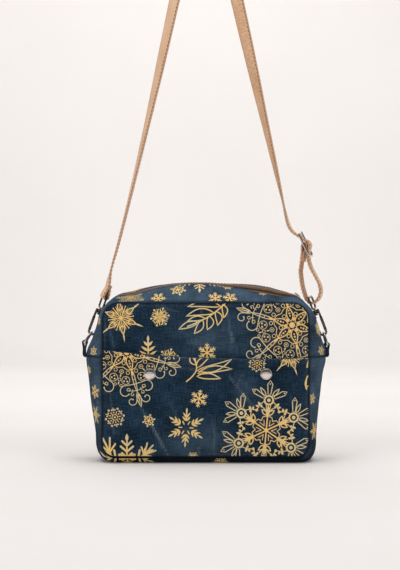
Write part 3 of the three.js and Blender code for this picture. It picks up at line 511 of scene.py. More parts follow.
class Graph:
    """Node graph of one material."""

    def __init__(self, name: str) -> None:
        """Starts a material with one shader."""
        self.material = bpy.data.materials.new(name)
        self.material.use_nodes = True
        self.tree = self.material.node_tree
        self.shader = self.tree.nodes["Principled BSDF"]

    def add(
        self, kind: str, settings: dict[str, Any] | None = None,
        inputs: dict[Any, Feed] | Sequence[Feed] | None = None, output: int | str = 0,
    ) -> Value:
        """Adds a node.

        Args:
            kind: The node's type.
            settings: Its own settings, set before its sockets.
            inputs: Values or links of its sockets, by name, by number or in order.
            output: Which of its outputs to give back.

        Returns:
            That output.
        """
        node = self.tree.nodes.new(kind)
        for key, setting in (settings or {}).items():
            setattr(node, key, setting)
        named = inputs if isinstance(inputs, dict) else dict(enumerate(inputs or []))
        for key, feed in named.items():
            self.feed(node.inputs[key], feed)
        return Value(self, node.outputs[output])

    def feed(self, socket: bpy.types.NodeSocket, feed: Feed) -> None:
        """Links a value to a socket, or sets a number or colour on it."""
        if isinstance(feed, Value):
            self.tree.links.new(feed.socket, socket)
        else:
            socket.default_value = feed

    def mix(self, first: Feed, second: Feed, share: Feed) -> Value:
        """Colour between two colours."""
        settings = {"data_type": "RGBA"}
        return self.add("ShaderNodeMix", settings, {0: share, 6: first, 7: second}, 2)

    def dim(self, colour: Feed, by: Feed) -> Value:
        """Colour made darker or lighter by a factor."""
        settings = {"operation": "SCALE"}
        return self.add("ShaderNodeVectorMath", settings, {0: colour, "Scale": by})

    def spot(self, place: Value, stretch: Sequence[float], detail: float) -> Value:
        """Noise over a place, with its own count of cells along each axis."""
        vector = self.add("ShaderNodeVectorMath", {"operation": "MULTIPLY"}, [place, tuple(stretch)])
        return self.add("ShaderNodeTexNoise", None, {"Vector": vector, "Scale": 1.0, "Detail": detail})

    def cloth_place(self) -> Value:
        """Place on the flat cloth, in units of a hundred millimetres."""
        return self.add("ShaderNodeUVMap", {"uv_map": CLOTH_MAP})

    def along_across(self, place: Value) -> list[Value]:
        """The two coordinates of a place on the cloth."""
        return [self.add("ShaderNodeSeparateXYZ", None, {"Vector": place}, axis) for axis in (0, 1)]

    def object_place(self) -> Value:
        """Place in the bag's own axes, in metres."""
        return self.add("ShaderNodeTexCoord", None, None, "Object")

    def mark(self, name: str) -> Value:
        """Named value that the mesh carries."""
        return self.add("ShaderNodeAttribute", {"attribute_name": name}, None, "Fac")

    def bump(self, height: Value, depth: float, strength: float) -> None:
        """Raises the surface by a height between 0 and 1 times a depth in millimetres."""
        inputs = {"Height": height, "Distance": depth * MM, "Strength": strength}
        self.feed(self.shader.inputs["Normal"], self.add("ShaderNodeBump", None, inputs))

    def surface(self, **sockets: Feed) -> None:
        """Sets or links the shader's sockets, named with underscores for spaces."""
        for key, feed in sockets.items():
            self.feed(self.shader.inputs[key.replace("_", " ")], feed)


# Finishes

Colour = tuple[float, float, float, float]
MADE: dict[str, bpy.types.Material] = {}


def tone(red: float, green: float, blue: float) -> Colour:
    """Colour for a socket from the 0 to 255 values that a screen shows."""
    def straight(level: float) -> float:
        """Light that a screen gives for a level."""
        share = level / FULL_LEVEL
        return share / 12.92 if share <= 0.04045 else ((share + 0.055) / 1.055) ** 2.4
    return (straight(red), straight(green), straight(blue), 1.0)


@dataclass(frozen=True)
class Finish:
    """A named surface finish."""

    name: str
    slot: str

    def draw(self, graph: Graph) -> None:
        """Adds the finish's nodes to a graph."""
        raise NotImplementedError

    def material(self) -> bpy.types.Material:
        """Material of this finish, made once."""
        if self.name not in MADE:
            graph = Graph(self.name)
            self.draw(graph)
            MADE[self.name] = graph.material
        return MADE[self.name]


@dataclass(frozen=True)
class CanvasFinish(Finish):
    """Washed dark blue canvas with slubby threads, pale creases and seams darkened by painted shade."""

    deep: Colour = tone(9, 28, 39)
    faded: Colour = tone(47, 72, 98)
    faded_and_lit: Colour = tone(75, 96, 115)
    scuffed: Colour = tone(116, 126, 138)
    thread: float = 0.9

    def draw(self, graph: Graph) -> None:
        """Adds the canvas's nodes to a graph."""
        place = graph.cloth_place()
        along, across = graph.along_across(place)
        beat = 2 * math.pi * MAP_UNIT / self.thread
        weave = (along * beat).sine() * (across * beat).sine() * 0.5 + 0.5
        threads = (graph.spot(place, (9, 130, 1), 3) + graph.spot(place, (150, 8, 1), 3)) * 0.5
        patches = graph.spot(place, (3.2, 3.6, 1), 4)
        specks = graph.spot(place, (70, 70, 1), 2)
        fade = (threads - 0.5) * 2.1 + (patches - 0.5) * 0.8 + (specks - 0.5) * 0.7 + weave * 0.1 + 0.31
        dyed = graph.mix(self.deep, self.faded, fade.between(0, 1))
        # Faded patches on the panels are the cloth's own; on the band up the sides and over the top this
        # paler mix is also painted light.
        cloth = graph.mix(dyed, self.faded_and_lit, graph.mark("bleach") * (threads + patches).between(0.6, 1.3))
        broken = (specks + threads).between(0.6, 1.3)
        worn = graph.mix(cloth, self.scuffed, graph.mark("wear") * broken)
        # Painted shade: the seam mark darkens the cloth along seams, in the pocket's hem groove, on the tabs'
        # edges and over the base's underside.
        shaded = graph.dim(worn, 1 - graph.mark("seam") * 0.72)
        graph.surface(Base_Color=shaded, Roughness=0.95, Specular_IOR_Level=0.2)
        graph.bump(weave * 0.5 + threads * 0.8, 0.35, 0.7)


@dataclass(frozen=True)
class InkFinish(Finish):
    """Gold print that has sunk a little into the threads."""

    bright: Colour = tone(236, 198, 122)
    pale: Colour = tone(214, 198, 152)
    sunk: Colour = tone(150, 122, 78)

    def draw(self, graph: Graph) -> None:
        """Adds the print's nodes to a graph."""
        place = graph.cloth_place()
        threads = (graph.spot(place, (30, 130, 1), 2) + graph.spot(place, (150, 26, 1), 2)) * 0.5
        patches = graph.spot(place, (9, 9, 1), 3)
        base = graph.mix(self.bright, self.pale, (graph.mark("pale") + patches * 0.8).between(0.55, 1.2))
        inked = graph.mix(base, self.sunk, threads.between(0.56, 0.72) * 0.7)
        graph.surface(Base_Color=inked, Roughness=0.62)
        graph.bump(threads, 0.2, 0.5)


@dataclass(frozen=True)
class LeatherFinish(Finish):
    """Tan strap leather: grained outside, fibrous inside, darker burnished edges."""

    grain: Colour = tone(248, 209, 174)
    dark_grain: Colour = tone(226, 181, 145)
    flesh: Colour = tone(238, 198, 161)
    dark_flesh: Colour = tone(206, 162, 127)
    edge: Colour = tone(192, 147, 115)
    hatch: float = 1.5

    def draw(self, graph: Graph) -> None:
        """Adds the leather's nodes to a graph."""
        place = graph.cloth_place()
        settings = {"feature": "DISTANCE_TO_EDGE"}
        cells = graph.add("ShaderNodeTexVoronoi", settings, {"Vector": place, "Scale": 95.0})
        pebbles = cells.between(0.0, 0.09)
        along, across = graph.along_across(place)
        pressed = ((along + across) * (2 * math.pi * MAP_UNIT / self.hatch)).sine() * 0.5 + 0.5
        fibres = graph.spot(place, (60, 22, 1), 4)
        patches = graph.spot(place, (3, 5, 1), 3)
        inside = graph.mark("inside")
        tint = (patches * 1.2 - pebbles * 0.35 + pressed * 0.25 - 0.05).between(0.1, 0.85)
        outer = graph.mix(self.grain, self.dark_grain, tint)
        inner = graph.mix(self.flesh, self.dark_flesh, (fibres * 0.8 + patches * 0.4).between(0.4, 0.8))
        face = graph.mix(outer, inner, inside)
        graph.surface(
            Base_Color=graph.mix(face, self.edge, graph.mark("rim") * 0.8),
            Roughness=0.52 + inside * 0.3, Specular_IOR_Level=0.35,
        )
        graph.bump((pebbles + pressed * 0.5) * (1 - inside) + fibres * inside * 1.4, 0.12, 0.7)


@dataclass(frozen=True)
class MetalFinish(Finish):
    """Plated metal with faint rub marks and dull clouded patches."""

    plate: Colour
    dull: Colour
    polish: float

    def draw(self, graph: Graph) -> None:
        """Adds the metal's nodes to a graph."""
        place = graph.object_place()
        clouds = graph.spot(place, (260, 260, 260), 3)
        rubs = graph.spot(place, (1800, 420, 900), 2)
        colour = graph.mix(self.plate, self.dull, (clouds * 0.8 + rubs * 0.4).between(0.4, 0.9))
        rough = self.polish + (clouds - 0.35) * 0.14 + rubs.between(0.6, 0.75) * 0.1
        graph.surface(Base_Color=colour, Metallic=1.0, Roughness=rough)
        graph.bump(rubs, 0.015, 0.4)


@dataclass(frozen=True)
class TapeFinish(Finish):
    """Woven brown zip tape in a fine herringbone."""

    light: Colour = tone(160, 128, 106)
    dark: Colour = tone(110, 82, 66)
    rib: float = 1.1

    def draw(self, graph: Graph) -> None:
        """Adds the tape's nodes to a graph."""
        place = graph.cloth_place()
        along, across = graph.along_across(place)
        beat = 2 * math.pi * MAP_UNIT / self.rib
        ribs = (across * beat).sine() * 0.5 + 0.5
        picks = (along * beat + ribs * 1.5).sine() * 0.5 + 0.5
        fuzz = graph.spot(place, (60, 60, 1), 3)
        shade = (ribs * 0.5 + picks * 0.25 + fuzz * 0.5).between(0.2, 1.0)
        graph.surface(Base_Color=graph.mix(self.dark, self.light, shade), Roughness=0.85)
        graph.bump(ribs * 0.7 + picks * 0.4, 0.2, 0.8)


@dataclass(frozen=True)
class PlainFinish(Finish):
    """One colour with clouding, for threads, coils and the studio's paper."""

    colour: Colour
    shade: Colour
    roughness: float
    cell: float

    def draw(self, graph: Graph) -> None:
        """Adds the nodes to a graph."""
        clouds = graph.spot(graph.object_place(), (self.cell,) * 3, 3)
        colour = graph.mix(self.colour, self.shade, clouds.between(0.3, 0.75))
        graph.surface(Base_Color=colour, Roughness=self.roughness + (clouds - 0.5) * 0.1)
        graph.bump(clouds, 0.03, 0.3)


CANVAS = CanvasFinish("washed_canvas", "canvas")
INK = InkFinish("gold_print", "canvas")
LEATHER = LeatherFinish("strap_leather", "leather")
BRIGHT_METAL = MetalFinish("bright_nickel", "nickel", tone(236, 229, 224), tone(214, 205, 198), polish=0.1)
DARK_METAL = MetalFinish("dark_nickel", "nickel", tone(134, 124, 114), tone(74, 66, 60), polish=0.2)
TAPE = TapeFinish("zip_tape", "zip_tape")
COIL = PlainFinish("zip_coil", "zip_teeth", tone(160, 134, 112), tone(114, 92, 76), 0.45, 900.0)
STRAP_THREAD = PlainFinish("strap_thread", "leather", tone(88, 55, 39), tone(62, 38, 28), 0.8, 1500.0)
PAPER = PlainFinish("studio_paper", "canvas", tone(246, 242, 240), tone(243, 239, 236), 0.9, 3.0)
CANVAS_THREAD = PlainFinish("canvas_thread", "canvas", tone(40, 56, 76), tone(26, 40, 56), 0.85, 1500.0)


def make_piece(
    name: str, form: Shape | bpy.types.Mesh, finish: Finish,
    stands_for: Sequence[str] = (), body: Body = Body.BAG,
) -> bpy.types.Object:
    """Adds a finished piece to the scene.

    Args:
        name: Name of the piece.
        form: Its shape, or a mesh that is ready.
        finish: What it is made of.
        stands_for: Frame nodes that it takes the place of.
        body: Body that it moves with.

    Returns:
        The new object.
    """
    mesh = form.mesh(name) if isinstance(form, Shape) else form
    mesh.materials.clear()
    mesh.materials.append(finish.material())
    piece = linked(name, mesh)
    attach(piece, body.value)
    if stands_for:
        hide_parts(*stands_for)
    LOG.info("%s: %d faces in %s", name, len(mesh.polygons), finish.name)
    return piece


# Canvas body


@dataclass
class Cloth:
    """Curved cloth over its own flat coordinates, which cross outward (1) or inward (-1)."""

    place: Place
    facing: float
    step: float = 0.05

    def normal(self, u: Array, v: Array) -> Array:
        """Directions out of the surface."""
        along = self.place(u + self.step, v) - self.place(u - self.step, v)
        across = self.place(u, v + self.step) - self.place(u, v - self.step)
        return self.facing * unit(np.cross(along, across))

    def lifted(self, u: Array, v: Array, height: Array | float) -> Array:
        """Points at a height over the surface."""
        return self.place(u, v) + np.asarray(height)[..., None] * self.normal(u, v)


@dataclass
class BagShape:
    """Seam lines and cloth surfaces of the bag's body."""

    half_width: float = 109.0
    half_depth: float = 38.0
    height: float = 162.5
    lift: float = 6.7
    top_radius: float = 18.0
    bottom_radius: float = 14.0
    wall: float = 1.8
    front_fill: float = 6.0
    back_fill: float = 5.0
    fill_power: float = 2.3
    side_seam: float = 111.6
    roll: float = 2.0
    mouth_reach: float = 42.0
    hem_height: float = 10.0
    hem_extra: float = 0.7
    zip_end: float = 258.0
    zip_slit: float = 3.7
    zip_blend: float = 16.0
    zip_dip_start: tuple[float, float] = (12.0, 5.0)
    zip_dip_rise: float = 12.0
    zip_dip_fall: tuple[float, float] = (36.0, 16.0)
    hollow_reach: float = 9.0
    edge_roll: float = 1.3
    crown: Table = Table(
        "along left right flat",
        (
            (0, 6.7, 6.7, 0.7), (95, 6.7, 6.9, 0.66), (106, 8.6, 10.6, 0.4), (117, 8.3, 9.2, 0.15),
            (160, 13.6, 13, 0.1), (190, 17.2, 17, 0.1), (205, 19.2, 20.2, 0.1), (214, 18.2, 20, 0.1),
            (230, 12.4, 16, 0.1), (247.5, 6.8, 11, 0.05), (262, 5, 6.6, 0.05), (275.8, 9.7, 9.6, 0.05),
            (288, 12, 12.7, 0.02), (300, 15.4, 15.8, 0), (320, 18.4, 18.4, 0), (350, 20.5, 19.6, 0),
            (367, 20.5, 20.5, 0),
        ),
    )
    hollow: Table = Table(
        "along left right", ((212, 0, 0), (229, 4.4, 4.2), (256, 5.2, 5), (268, 2, 1.4), (282, 0, 0)),
    )
    zip_line: Table = Table(
        "along left right", ((216, 0, 0), (262, 5, 7), (290, 7, 10), (320, 6.5, 9), (367, 6, 6)),
    )
    zip_gape: Table = Table(
        "along left right",
        ((258, 0, 0), (270, 1.2, 4.5), (286, 1.2, 6.2), (312, 0.6, 5), (340, 0.2, 1.6), (367, 0, 0)),
    )
    zip_step: Table = Table(
        "along left right",
        ((262, 0, 0), (277, 1.6, 1), (290, 3.4, 3.4), (310, 2.2, 3.2), (336, 0.6, 1.4), (367, 0, 0)),
    )
    panel_folds: Table = Table(
        RIDGE,
        ((24, 160, 26, 118, 7, 1.1), (-80, 150, -98, 122, 8, 1.2), (70, 152, 96, 124, 8, 1.0)),
    )
    pocket_folds: Table = Table(
        RIDGE,
        (
            (-64, 74, -35, 12, 8, 1.5), (36, 90, 54, 62, 7, 1.1),
            (-92, 86, -100, 40, 8, 1.0), (92, 80, 100, 36, 8, 1.0),
        ),
    )
    mouth: Table = Table(
        "x height gape",
        (
            (-109, 119.5, 0.4), (-86, 117.6, 2.4), (-58, 114.8, 0.5), (-20, 112.4, 0.9),
            (20, 111, 0.7), (63, 110.4, 0.2), (109, 111.4, 0.2),
        ),
    )

    def __post_init__(self) -> None:
        """Works out lengths along the panel seam, from the middle of the base."""
        self.base_run = self.half_width - self.bottom_radius
        self.side_start = self.base_run + self.bottom_radius * math.pi / 2
        self.side_end = self.side_start + self.height - self.bottom_radius - self.top_radius
        self.top_start = self.side_end + self.top_radius * math.pi / 2
        self.half_seam = self.top_start + self.half_width - self.top_radius
        self.side_seam_along = self.side_start + self.side_seam - self.lift - self.bottom_radius
        self.middle = self.lift + self.height / 2
        self.seam_top = self.lift + self.height

    def seam_at(self, along: Array) -> tuple[Array, Array, Array]:
        """Place and outward angle on the right half of the panel seam.

        Args:
            along: Length along the seam from the middle of the base.

        Returns:
            X, height and angle from the X axis.
        """
        low = -math.pi / 2 + (along - self.base_run) / self.bottom_radius
        high = (along - self.side_end) / self.top_radius
        parts = [along <= end for end in (self.base_run, self.side_start, self.side_end, self.top_start)]
        top_run = self.half_width - self.top_radius
        x = np.select(
            parts,
            [along, self.base_run + self.bottom_radius * np.cos(low), self.half_width,
             top_run + self.top_radius * np.cos(high)],
            top_run - (along - self.top_start),
        )
        z = np.select(
            parts,
            [self.lift, self.lift + self.bottom_radius * (1 + np.sin(low)),
             self.lift + self.bottom_radius + along - self.side_start,
             self.seam_top - self.top_radius * (1 - np.sin(high))],
            self.seam_top,
        )
        return x, z, np.select(parts, [-math.pi / 2, low, 0, high], math.pi / 2)

    def drop(self, edge: Array, roll: float | None = None) -> Array:
        """How far cloth rolls in at a distance from its sewn edge."""
        radius = self.roll if roll is None else roll
        near = np.clip(radius - edge, 0, radius)
        return radius - np.sqrt(radius**2 - near**2)

    def unrest(self, u: Array, v: Array, edge: Array, seed: float) -> Array:
        """Small slack and seam puckers of sewn cloth."""
        slack = 0.55 * ripple(u, v, 46, seed) * smoothstep(2, 16, edge)
        pucker = 0.4 * ripple(u, v, 11, seed + 3) * hump(edge, 9) * smoothstep(0.5, 4, edge)
        return slack + pucker + 0.1 * ripple(u, v, 5.5, seed + 5) * smoothstep(1, 5, edge)

    def seam_edge(self, x: Array, z: Array) -> Array:
        """Distance of a place on a panel from its seam."""
        radius = np.where(z > self.middle, self.top_radius, self.bottom_radius)
        out_x = np.abs(x) - (self.half_width - radius)
        out_z = np.abs(z - self.middle) - (self.height / 2 - radius)
        round_part = np.hypot(np.maximum(out_x, 0), np.maximum(out_z, 0))
        return radius - round_part - np.minimum(np.maximum(out_x, out_z), 0)

    def outline(self, x: Array, inset: float) -> tuple[Array, Array]:
        """Lowest and highest place of a panel drawn in from its seam."""
        def rise(radius: float) -> Array:
            """Height of the rounded corner at x."""
            past = np.maximum(np.abs(x) - (self.half_width - radius), 0)
            return radius - inset - np.sqrt(np.maximum((radius - inset) ** 2 - past**2, 0))
        return self.lift + inset + rise(self.bottom_radius), self.seam_top - inset - rise(self.top_radius)

    def dome(self, x: Array, z: Array) -> Array:
        """Share of a panel's fill, from 0 at the seam to 1 in the middle."""
        width = 1 - np.minimum(np.abs(x) / self.half_width, 1) ** self.fill_power
        height = 1 - np.minimum(np.abs(z - self.middle) / (self.height / 2), 1) ** self.fill_power
        return width * height

    def half_place(self, run: Array) -> tuple[Array, Array]:
        """Length along the seam on the bag's own half, and whether that is the right half."""
        turned = np.mod(run, 2 * self.half_seam)
        right = turned <= self.half_seam
        return np.where(right, turned, 2 * self.half_seam - turned), right

    def sided(self, table: Table, run: Array) -> Array:
        """Values of a table that has a column for each side."""
        along, right = self.half_place(run)
        return np.where(right, table.read("right", along), table.read("left", along))

    def gusset(self, run: Array, v: Array, rolled: bool = True) -> Array:
        """Points on the band round the bag.

        Args:
            run: Length along the seam from the middle of the base, to the right and over the top.
            v: Place across the depth, from the front to the back.
            rolled: Whether the sewn edges roll in.

        Returns:
            The points.
        """
        along, right = self.half_place(run)
        x, z, turn = self.seam_at(along)
        flat = self.crown.read("flat", along)
        slope = np.maximum(np.abs(v) / self.half_depth - flat, 0) / (1 - flat)
        pressed = self.sided(self.hollow, run) * hump(v, self.hollow_reach)
        edge = self.half_depth - np.abs(v)
        slack = self.unrest(run, v, edge, 2) * smoothstep(self.base_run - 10, self.base_run + 35, along)
        stand = self.sided(self.crown, run) * (1 - slope**2) - pressed + slack * (1 - pressed / 6)
        stand = stand - self.zip_dip(run, v)
        if rolled:
            stand = stand - self.drop(edge) - self.drop(np.abs(along - self.side_seam_along), self.edge_roll)
        across = np.where(right, 1.0, -1.0) * (x + stand * np.cos(turn))
        return stacked(across, v, z + stand * np.sin(turn))

    def band(self, rolled: bool = True) -> Cloth:
        """Surface of the band round the bag."""
        return Cloth(lambda run, v: self.gusset(run, v, rolled), -1)

    def zip_dip(self, run: Array, v: Array) -> Array:
        """How far the cloth in front of the zip lies under that behind it."""
        left, right = self.zip_dip_start
        over = -v - self.sided(self.zip_line, run) + np.where(self.half_place(run)[1], right, left)
        dip = smoothstep(0, self.zip_dip_rise, over) * smoothstep(*self.zip_dip_fall, over)
        return self.sided(self.zip_step, run) * dip

    def zip_edge(self, run: Array, facing: float, off: float = 0.0) -> Array:
        """Place across the depth of a zip strip's edge, or of a line behind it."""
        along, _ = self.half_place(run)
        share = smoothstep(self.zip_end - self.zip_blend / 2, self.zip_end + self.zip_blend / 2, along)
        half = GAP / 2 + (self.zip_slit - GAP / 2) * share
        if facing < 0:
            half = half + self.sided(self.zip_gape, run) * share
        return facing * (half + off) - self.sided(self.zip_line, run)

    def front_depth(self, x: Array, z: Array, rolled: bool = True) -> Array:
        """How far the front panel stands in front of the middle."""
        dome, edge = self.dome(x, z), self.seam_edge(x, z)
        depth = self.half_depth + self.front_fill * dome + self.panel_folds.ridges(x, z) * np.sqrt(dome)
        depth = depth + self.unrest(x, z, edge, 1)
        return depth - self.drop(edge) if rolled else depth

    def back_depth(self, x: Array, z: Array, rolled: bool = True) -> Array:
        """How far the back panel stands behind the middle."""
        edge = self.seam_edge(x, z)
        depth = self.half_depth + self.back_fill * self.dome(x, z) + self.unrest(x, z, edge, 4)
        return depth - self.drop(edge) if rolled else depth

    def pocket_inside(self, x: Array, z: Array) -> Array:
        """How far the pocket's inside stands in front of the middle."""
        down = self.mouth.read("height", x) - z
        gape = self.mouth.read("gape", x) * np.maximum(1 - np.maximum(down, 0) / self.mouth_reach, 0) ** 4
        edge = np.minimum(self.dome(x, z) * 4, 1)
        slack = 0.3 * (1 + ripple(x, z, 30, 7)) * edge
        return self.front_depth(x, z) + GAP + gape + self.pocket_folds.ridges(x, z) * edge + slack

    def pocket_outside(self, x: Array, z: Array) -> Array:
        """How far the pocket's outside stands in front of the middle."""
        down = self.mouth.read("height", x) - z
        hem = smoothstep(self.hem_height + 1.2, self.hem_height - 1.2, down)
        sunk = 0.35 * hump(down - self.hem_height, 1.1)
        wall = self.wall + self.hem_extra * hem - sunk - self.drop(np.maximum(down, 0.1), self.edge_roll)
        return self.pocket_inside(x, z) + wall - self.drop(self.seam_edge(x, z))

    def face(self, depth: Place, facing: int) -> Cloth:
        """Surface that stands in front of the middle (-1) or behind it (1) by a depth."""
        return Cloth(lambda x, z: stacked(x, facing * depth(x, z), z), -facing)

    def panel_grid(
        self, columns: int, rows: int, inset: float, top: Table | None = None,
    ) -> tuple[Array, Array]:
        """Places on a panel, closer together near its edges.

        Args:
            columns: Steps across.
            rows: Steps upward.
            inset: Distance from the seam.
            top: Table with the height of the upper edge, if it isn't the seam.

        Returns:
            Grids of X and height.
        """
        x = (self.half_width - inset) * np.sin(eased(-1, 1, columns, 0.0) * math.pi / 2)
        low, high = self.outline(x, inset)
        if top is not None:
            high = np.minimum(high, top.read("height", x))
        z = low[:, None] + (high - low)[:, None] * eased(0, 1, rows)
        return np.broadcast_to(x[:, None], z.shape), z


@dataclass
class CanvasBody:
    """The sewn canvas pieces: panels, pocket, gusset and zip strips."""

    bag: BagShape
    columns: int = 150
    rows: int = 96
    pocket_rows: int = 80
    tab_width: float = 15.0
    tab_thick: float = 3.1
    tab_inside: float = 123.5
    stitch_inset: float = 2.4
    seam_shade_reach: float = 1.7
    rub_inset: float = 3.2
    front_creases: Table = Table(
        RIDGE,
        (
            (23, 158, 28, 122, 1.1, 0.55), (26, 140, 31, 124, 0.8, 0.6), (-6, 166, -2, 150, 1.2, 0.3),
            (-52, 165, -30, 160, 1.3, 0.35), (58, 150, 64, 128, 1.2, 0.3), (-100, 140, -96, 122, 1.4, 0.35),
            (-20, 128, 20, 121, 2.0, 0.25),
        ),
    )
    faded_zones: Table = Table(
        RIDGE,
        ((-30, 128, 40, 134, 20, 0.6), (-32, 22, 16, 24, 17, 0.75), (34, 84, 48, 70, 12, 0.4)),
    )
    pocket_creases: Table = Table(
        RIDGE,
        (
            (-68, 60, -39, 8, 1.0, 0.8), (-58, 44, -42, 16, 0.7, 0.7), (23, 94, 35, 79, 0.8, 0.6),
            (35, 78, 50, 61, 0.9, 0.65), (39, 95, 31, 78, 0.7, 0.5), (-7, 18, -6, 7, 1.0, 0.5),
            (8, 50, 10, 9, 1.2, 0.35), (-36, 64, -28, 40, 1.3, 0.3), (18, 34, 30, 12, 1.4, 0.3),
            (-100, 78, -96, 30, 1.2, 0.3), (90, 70, 102, 40, 1.2, 0.25), (-30, 101, 10, 98, 1.6, 0.25),
        ),
    )

    def build(self) -> None:
        """Makes and dresses every canvas piece."""
        self.domed_panel("front", self.bag.front_depth, -1)
        self.front_pocket()
        self.domed_panel("back", self.bag.back_depth, 1)
        self.base_gusset()
        self.zip_strip("front", -1)
        self.zip_strip("back", 1)

    def domed_panel(self, place: str, depth: Callable[..., Array], facing: int) -> None:
        """Domed panel on the front or the back.

        Args:
            place: Which of the two, as the frame's node spells it.
            depth: How far its outside stands off the middle.
            facing: -1 for the front or 1 for the back.
        """
        x, z = self.bag.panel_grid(self.columns, self.rows, GAP)
        inset = GAP + 0.7 * self.bag.wall
        under_x, under_z = self.bag.panel_grid(self.columns, self.rows, inset)
        outer = self.bag.face(depth, facing).place(x, z)
        inner_depth = facing * (depth(under_x, under_z, rolled=False) - self.bag.wall)
        inner = stacked(under_x, inner_depth, under_z)
        wall = shell(outer, inner, stacked(x, z), self.marks(x, z, self.front_creases))
        piece = make_piece(f"canvas_{place}_panel", wall, CANVAS, [f"{place}_panel"])

    def marks(self, x: Array, z: Array, creases: Table) -> dict[str, Array]:
        """Pale creases and shaded seams on a panel or pocket."""
        edge = self.bag.seam_edge(x, z)
        rubbed = 0.25 * hump(edge - self.rub_inset, 1.2) * (0.5 + 0.5 * ripple(x, z, 14, 9))
        wear = np.clip(creases.ridges(x, z) + rubbed, 0, 1)
        bleach = self.faded_zones.ridges(x, z)
        # The seam mark is painted shade along the panel's seams.
        return {"wear": wear, "seam": hump(edge, self.seam_shade_reach), "bleach": bleach}

    def front_pocket(self) -> None:
        """Patch pocket with a turned hem, standing a little off the panel at its mouth."""
        x, z = self.bag.panel_grid(self.columns, self.pocket_rows, GAP, self.bag.mouth)
        outer = self.bag.face(self.bag.pocket_outside, -1).place(x, z)
        inner = self.bag.face(self.bag.pocket_inside, -1).place(x, z)
        marks = self.marks(x, z, self.pocket_creases)
        down = self.bag.mouth.read("height", x) - z
        # Pale line along the mouth's folded edge: wear, and a painted highlight where the fold catches the
        # light.
        worn_lit_edge = 0.35 * hump(down - 0.8, 0.9) * (0.6 + 0.4 * ripple(x, z, 18, 12))
        marks["wear"] = np.clip(marks["wear"] + worn_lit_edge, 0, 1)
        # Painted shade in the groove along the hem's stitching.
        hem_groove_shade = hump(down - self.bag.hem_height, 1.0)
        marks["seam"] = np.clip(marks["seam"] + 0.35 * hem_groove_shade, 0, 1)
        pocket = shell(outer, inner, stacked(x, z), marks)
        piece = make_piece("canvas_front_pocket", pocket, CANVAS, ["front_pocket"])
        self.hem_stitches()

    def hem_stitches(self) -> None:
        """Row of stitches that holds the pocket's hem."""
        x = np.arange(-104, 104, 0.2)
        z = self.bag.mouth.read("height", x) - self.bag.hem_height
        outside = self.bag.face(self.bag.pocket_outside, -1)
        row = CANVAS_STITCH.row(outside.place(x, z), outside.normal(x, z))
        make_piece("stitches_pocket_hem", row, CANVAS_THREAD)

    def gusset_wall(self, run: Array, v: Array) -> Shape:
        """Wall of a stretch of the band round the bag.

        Args:
            run: Grid of lengths along the seam.
            v: Grid of places across the depth.

        Returns:
            The wall with its marks.
        """
        inner = self.bag.band(rolled=False).lifted(run, v, -self.bag.wall)
        edge = self.bag.half_depth - np.abs(v)
        along, _ = self.bag.half_place(run)
        # Painted shade along the side seam.
        side = hump(along - self.bag.side_seam_along, 1.6)
        corner = smoothstep(self.bag.side_start + 6, self.bag.base_run, along)
        rubbed = 0.35 * corner * smoothstep(0.1, 0.9, ripple(run, v, 12, 14))
        # Painted shade over the base's underside, standing in for the floor's shadow.
        under = smoothstep(self.bag.base_run + 14, self.bag.base_run - 4, along)
        # All of these feed the seam mark, which is painted shade.
        lines = hump(edge, self.seam_shade_reach) + 0.8 * side + 0.9 * under
        # Paler band up the sides and over the top: faded cloth, and painted light for the light that falls on
        # it.
        pale = 0.95 * smoothstep(self.bag.side_start, self.bag.side_start + 40, along)
        marks = {"seam": np.clip(lines, 0, 1), "wear": rubbed * (1 - under), "bleach": pale}
        return shell(self.bag.gusset(run, v), inner, stacked(run, v), marks)

    def tab_slots(self) -> list[Shape]:
        """Slots in the side seams that the ring tabs pass through."""
        size = (14, self.tab_width + 2 * GAP, self.tab_thick + 2 * GAP)
        out, up = self.tab_inside + 5, self.bag.side_seam
        return [moved(rounded_box(size, 0.3), (side.value * out, 0, up)) for side in Side]

    def base_gusset(self) -> None:
        """Band under the base and up both sides to the side seams."""
        end = self.bag.side_seam_along - GAP / 2
        across = self.bag.half_depth - GAP
        run, v = np.meshgrid(eased(-end, end, 236, 0.12), eased(-across, across, 44), indexing="ij")
        piece = make_piece("canvas_base_gusset", self.gusset_wall(run, v), CANVAS, ["base_gusset"])
        carve(piece, self.tab_slots())

    def zip_strip(self, place: str, facing: int) -> None:
        """Strip from one side seam over the top to the other, on one side of the zip.

        Args:
            place: Which side, as the frame's node spells it.
            facing: -1 in front of the zip or 1 behind it.
        """
        start = self.bag.side_seam_along + GAP / 2
        run = eased(start, 2 * self.bag.half_seam - start, 210, 0.12)[:, None]
        share = eased(0, 1, 22)[None, :]
        outside = facing * (self.bag.half_depth - GAP)
        v = outside + (self.bag.zip_edge(run, facing) - outside) * share
        run = np.broadcast_to(run, v.shape)
        wall = self.gusset_wall(run, v)
        piece = make_piece(f"canvas_zip_strip_{place}", wall, CANVAS, [f"zip_strip_{place}"])
        carve(piece, self.tab_slots())
        line = eased(self.bag.zip_end + 14, 2 * self.bag.half_seam - self.bag.zip_end - 14, 1500, 0.0)
        off = self.bag.zip_edge(line, facing, self.stitch_inset)
        band = self.bag.band()
        row = CANVAS_STITCH.row(band.place(line, off), band.normal(line, off))
        make_piece(f"stitches_zip_{place}", row, CANVAS_THREAD)


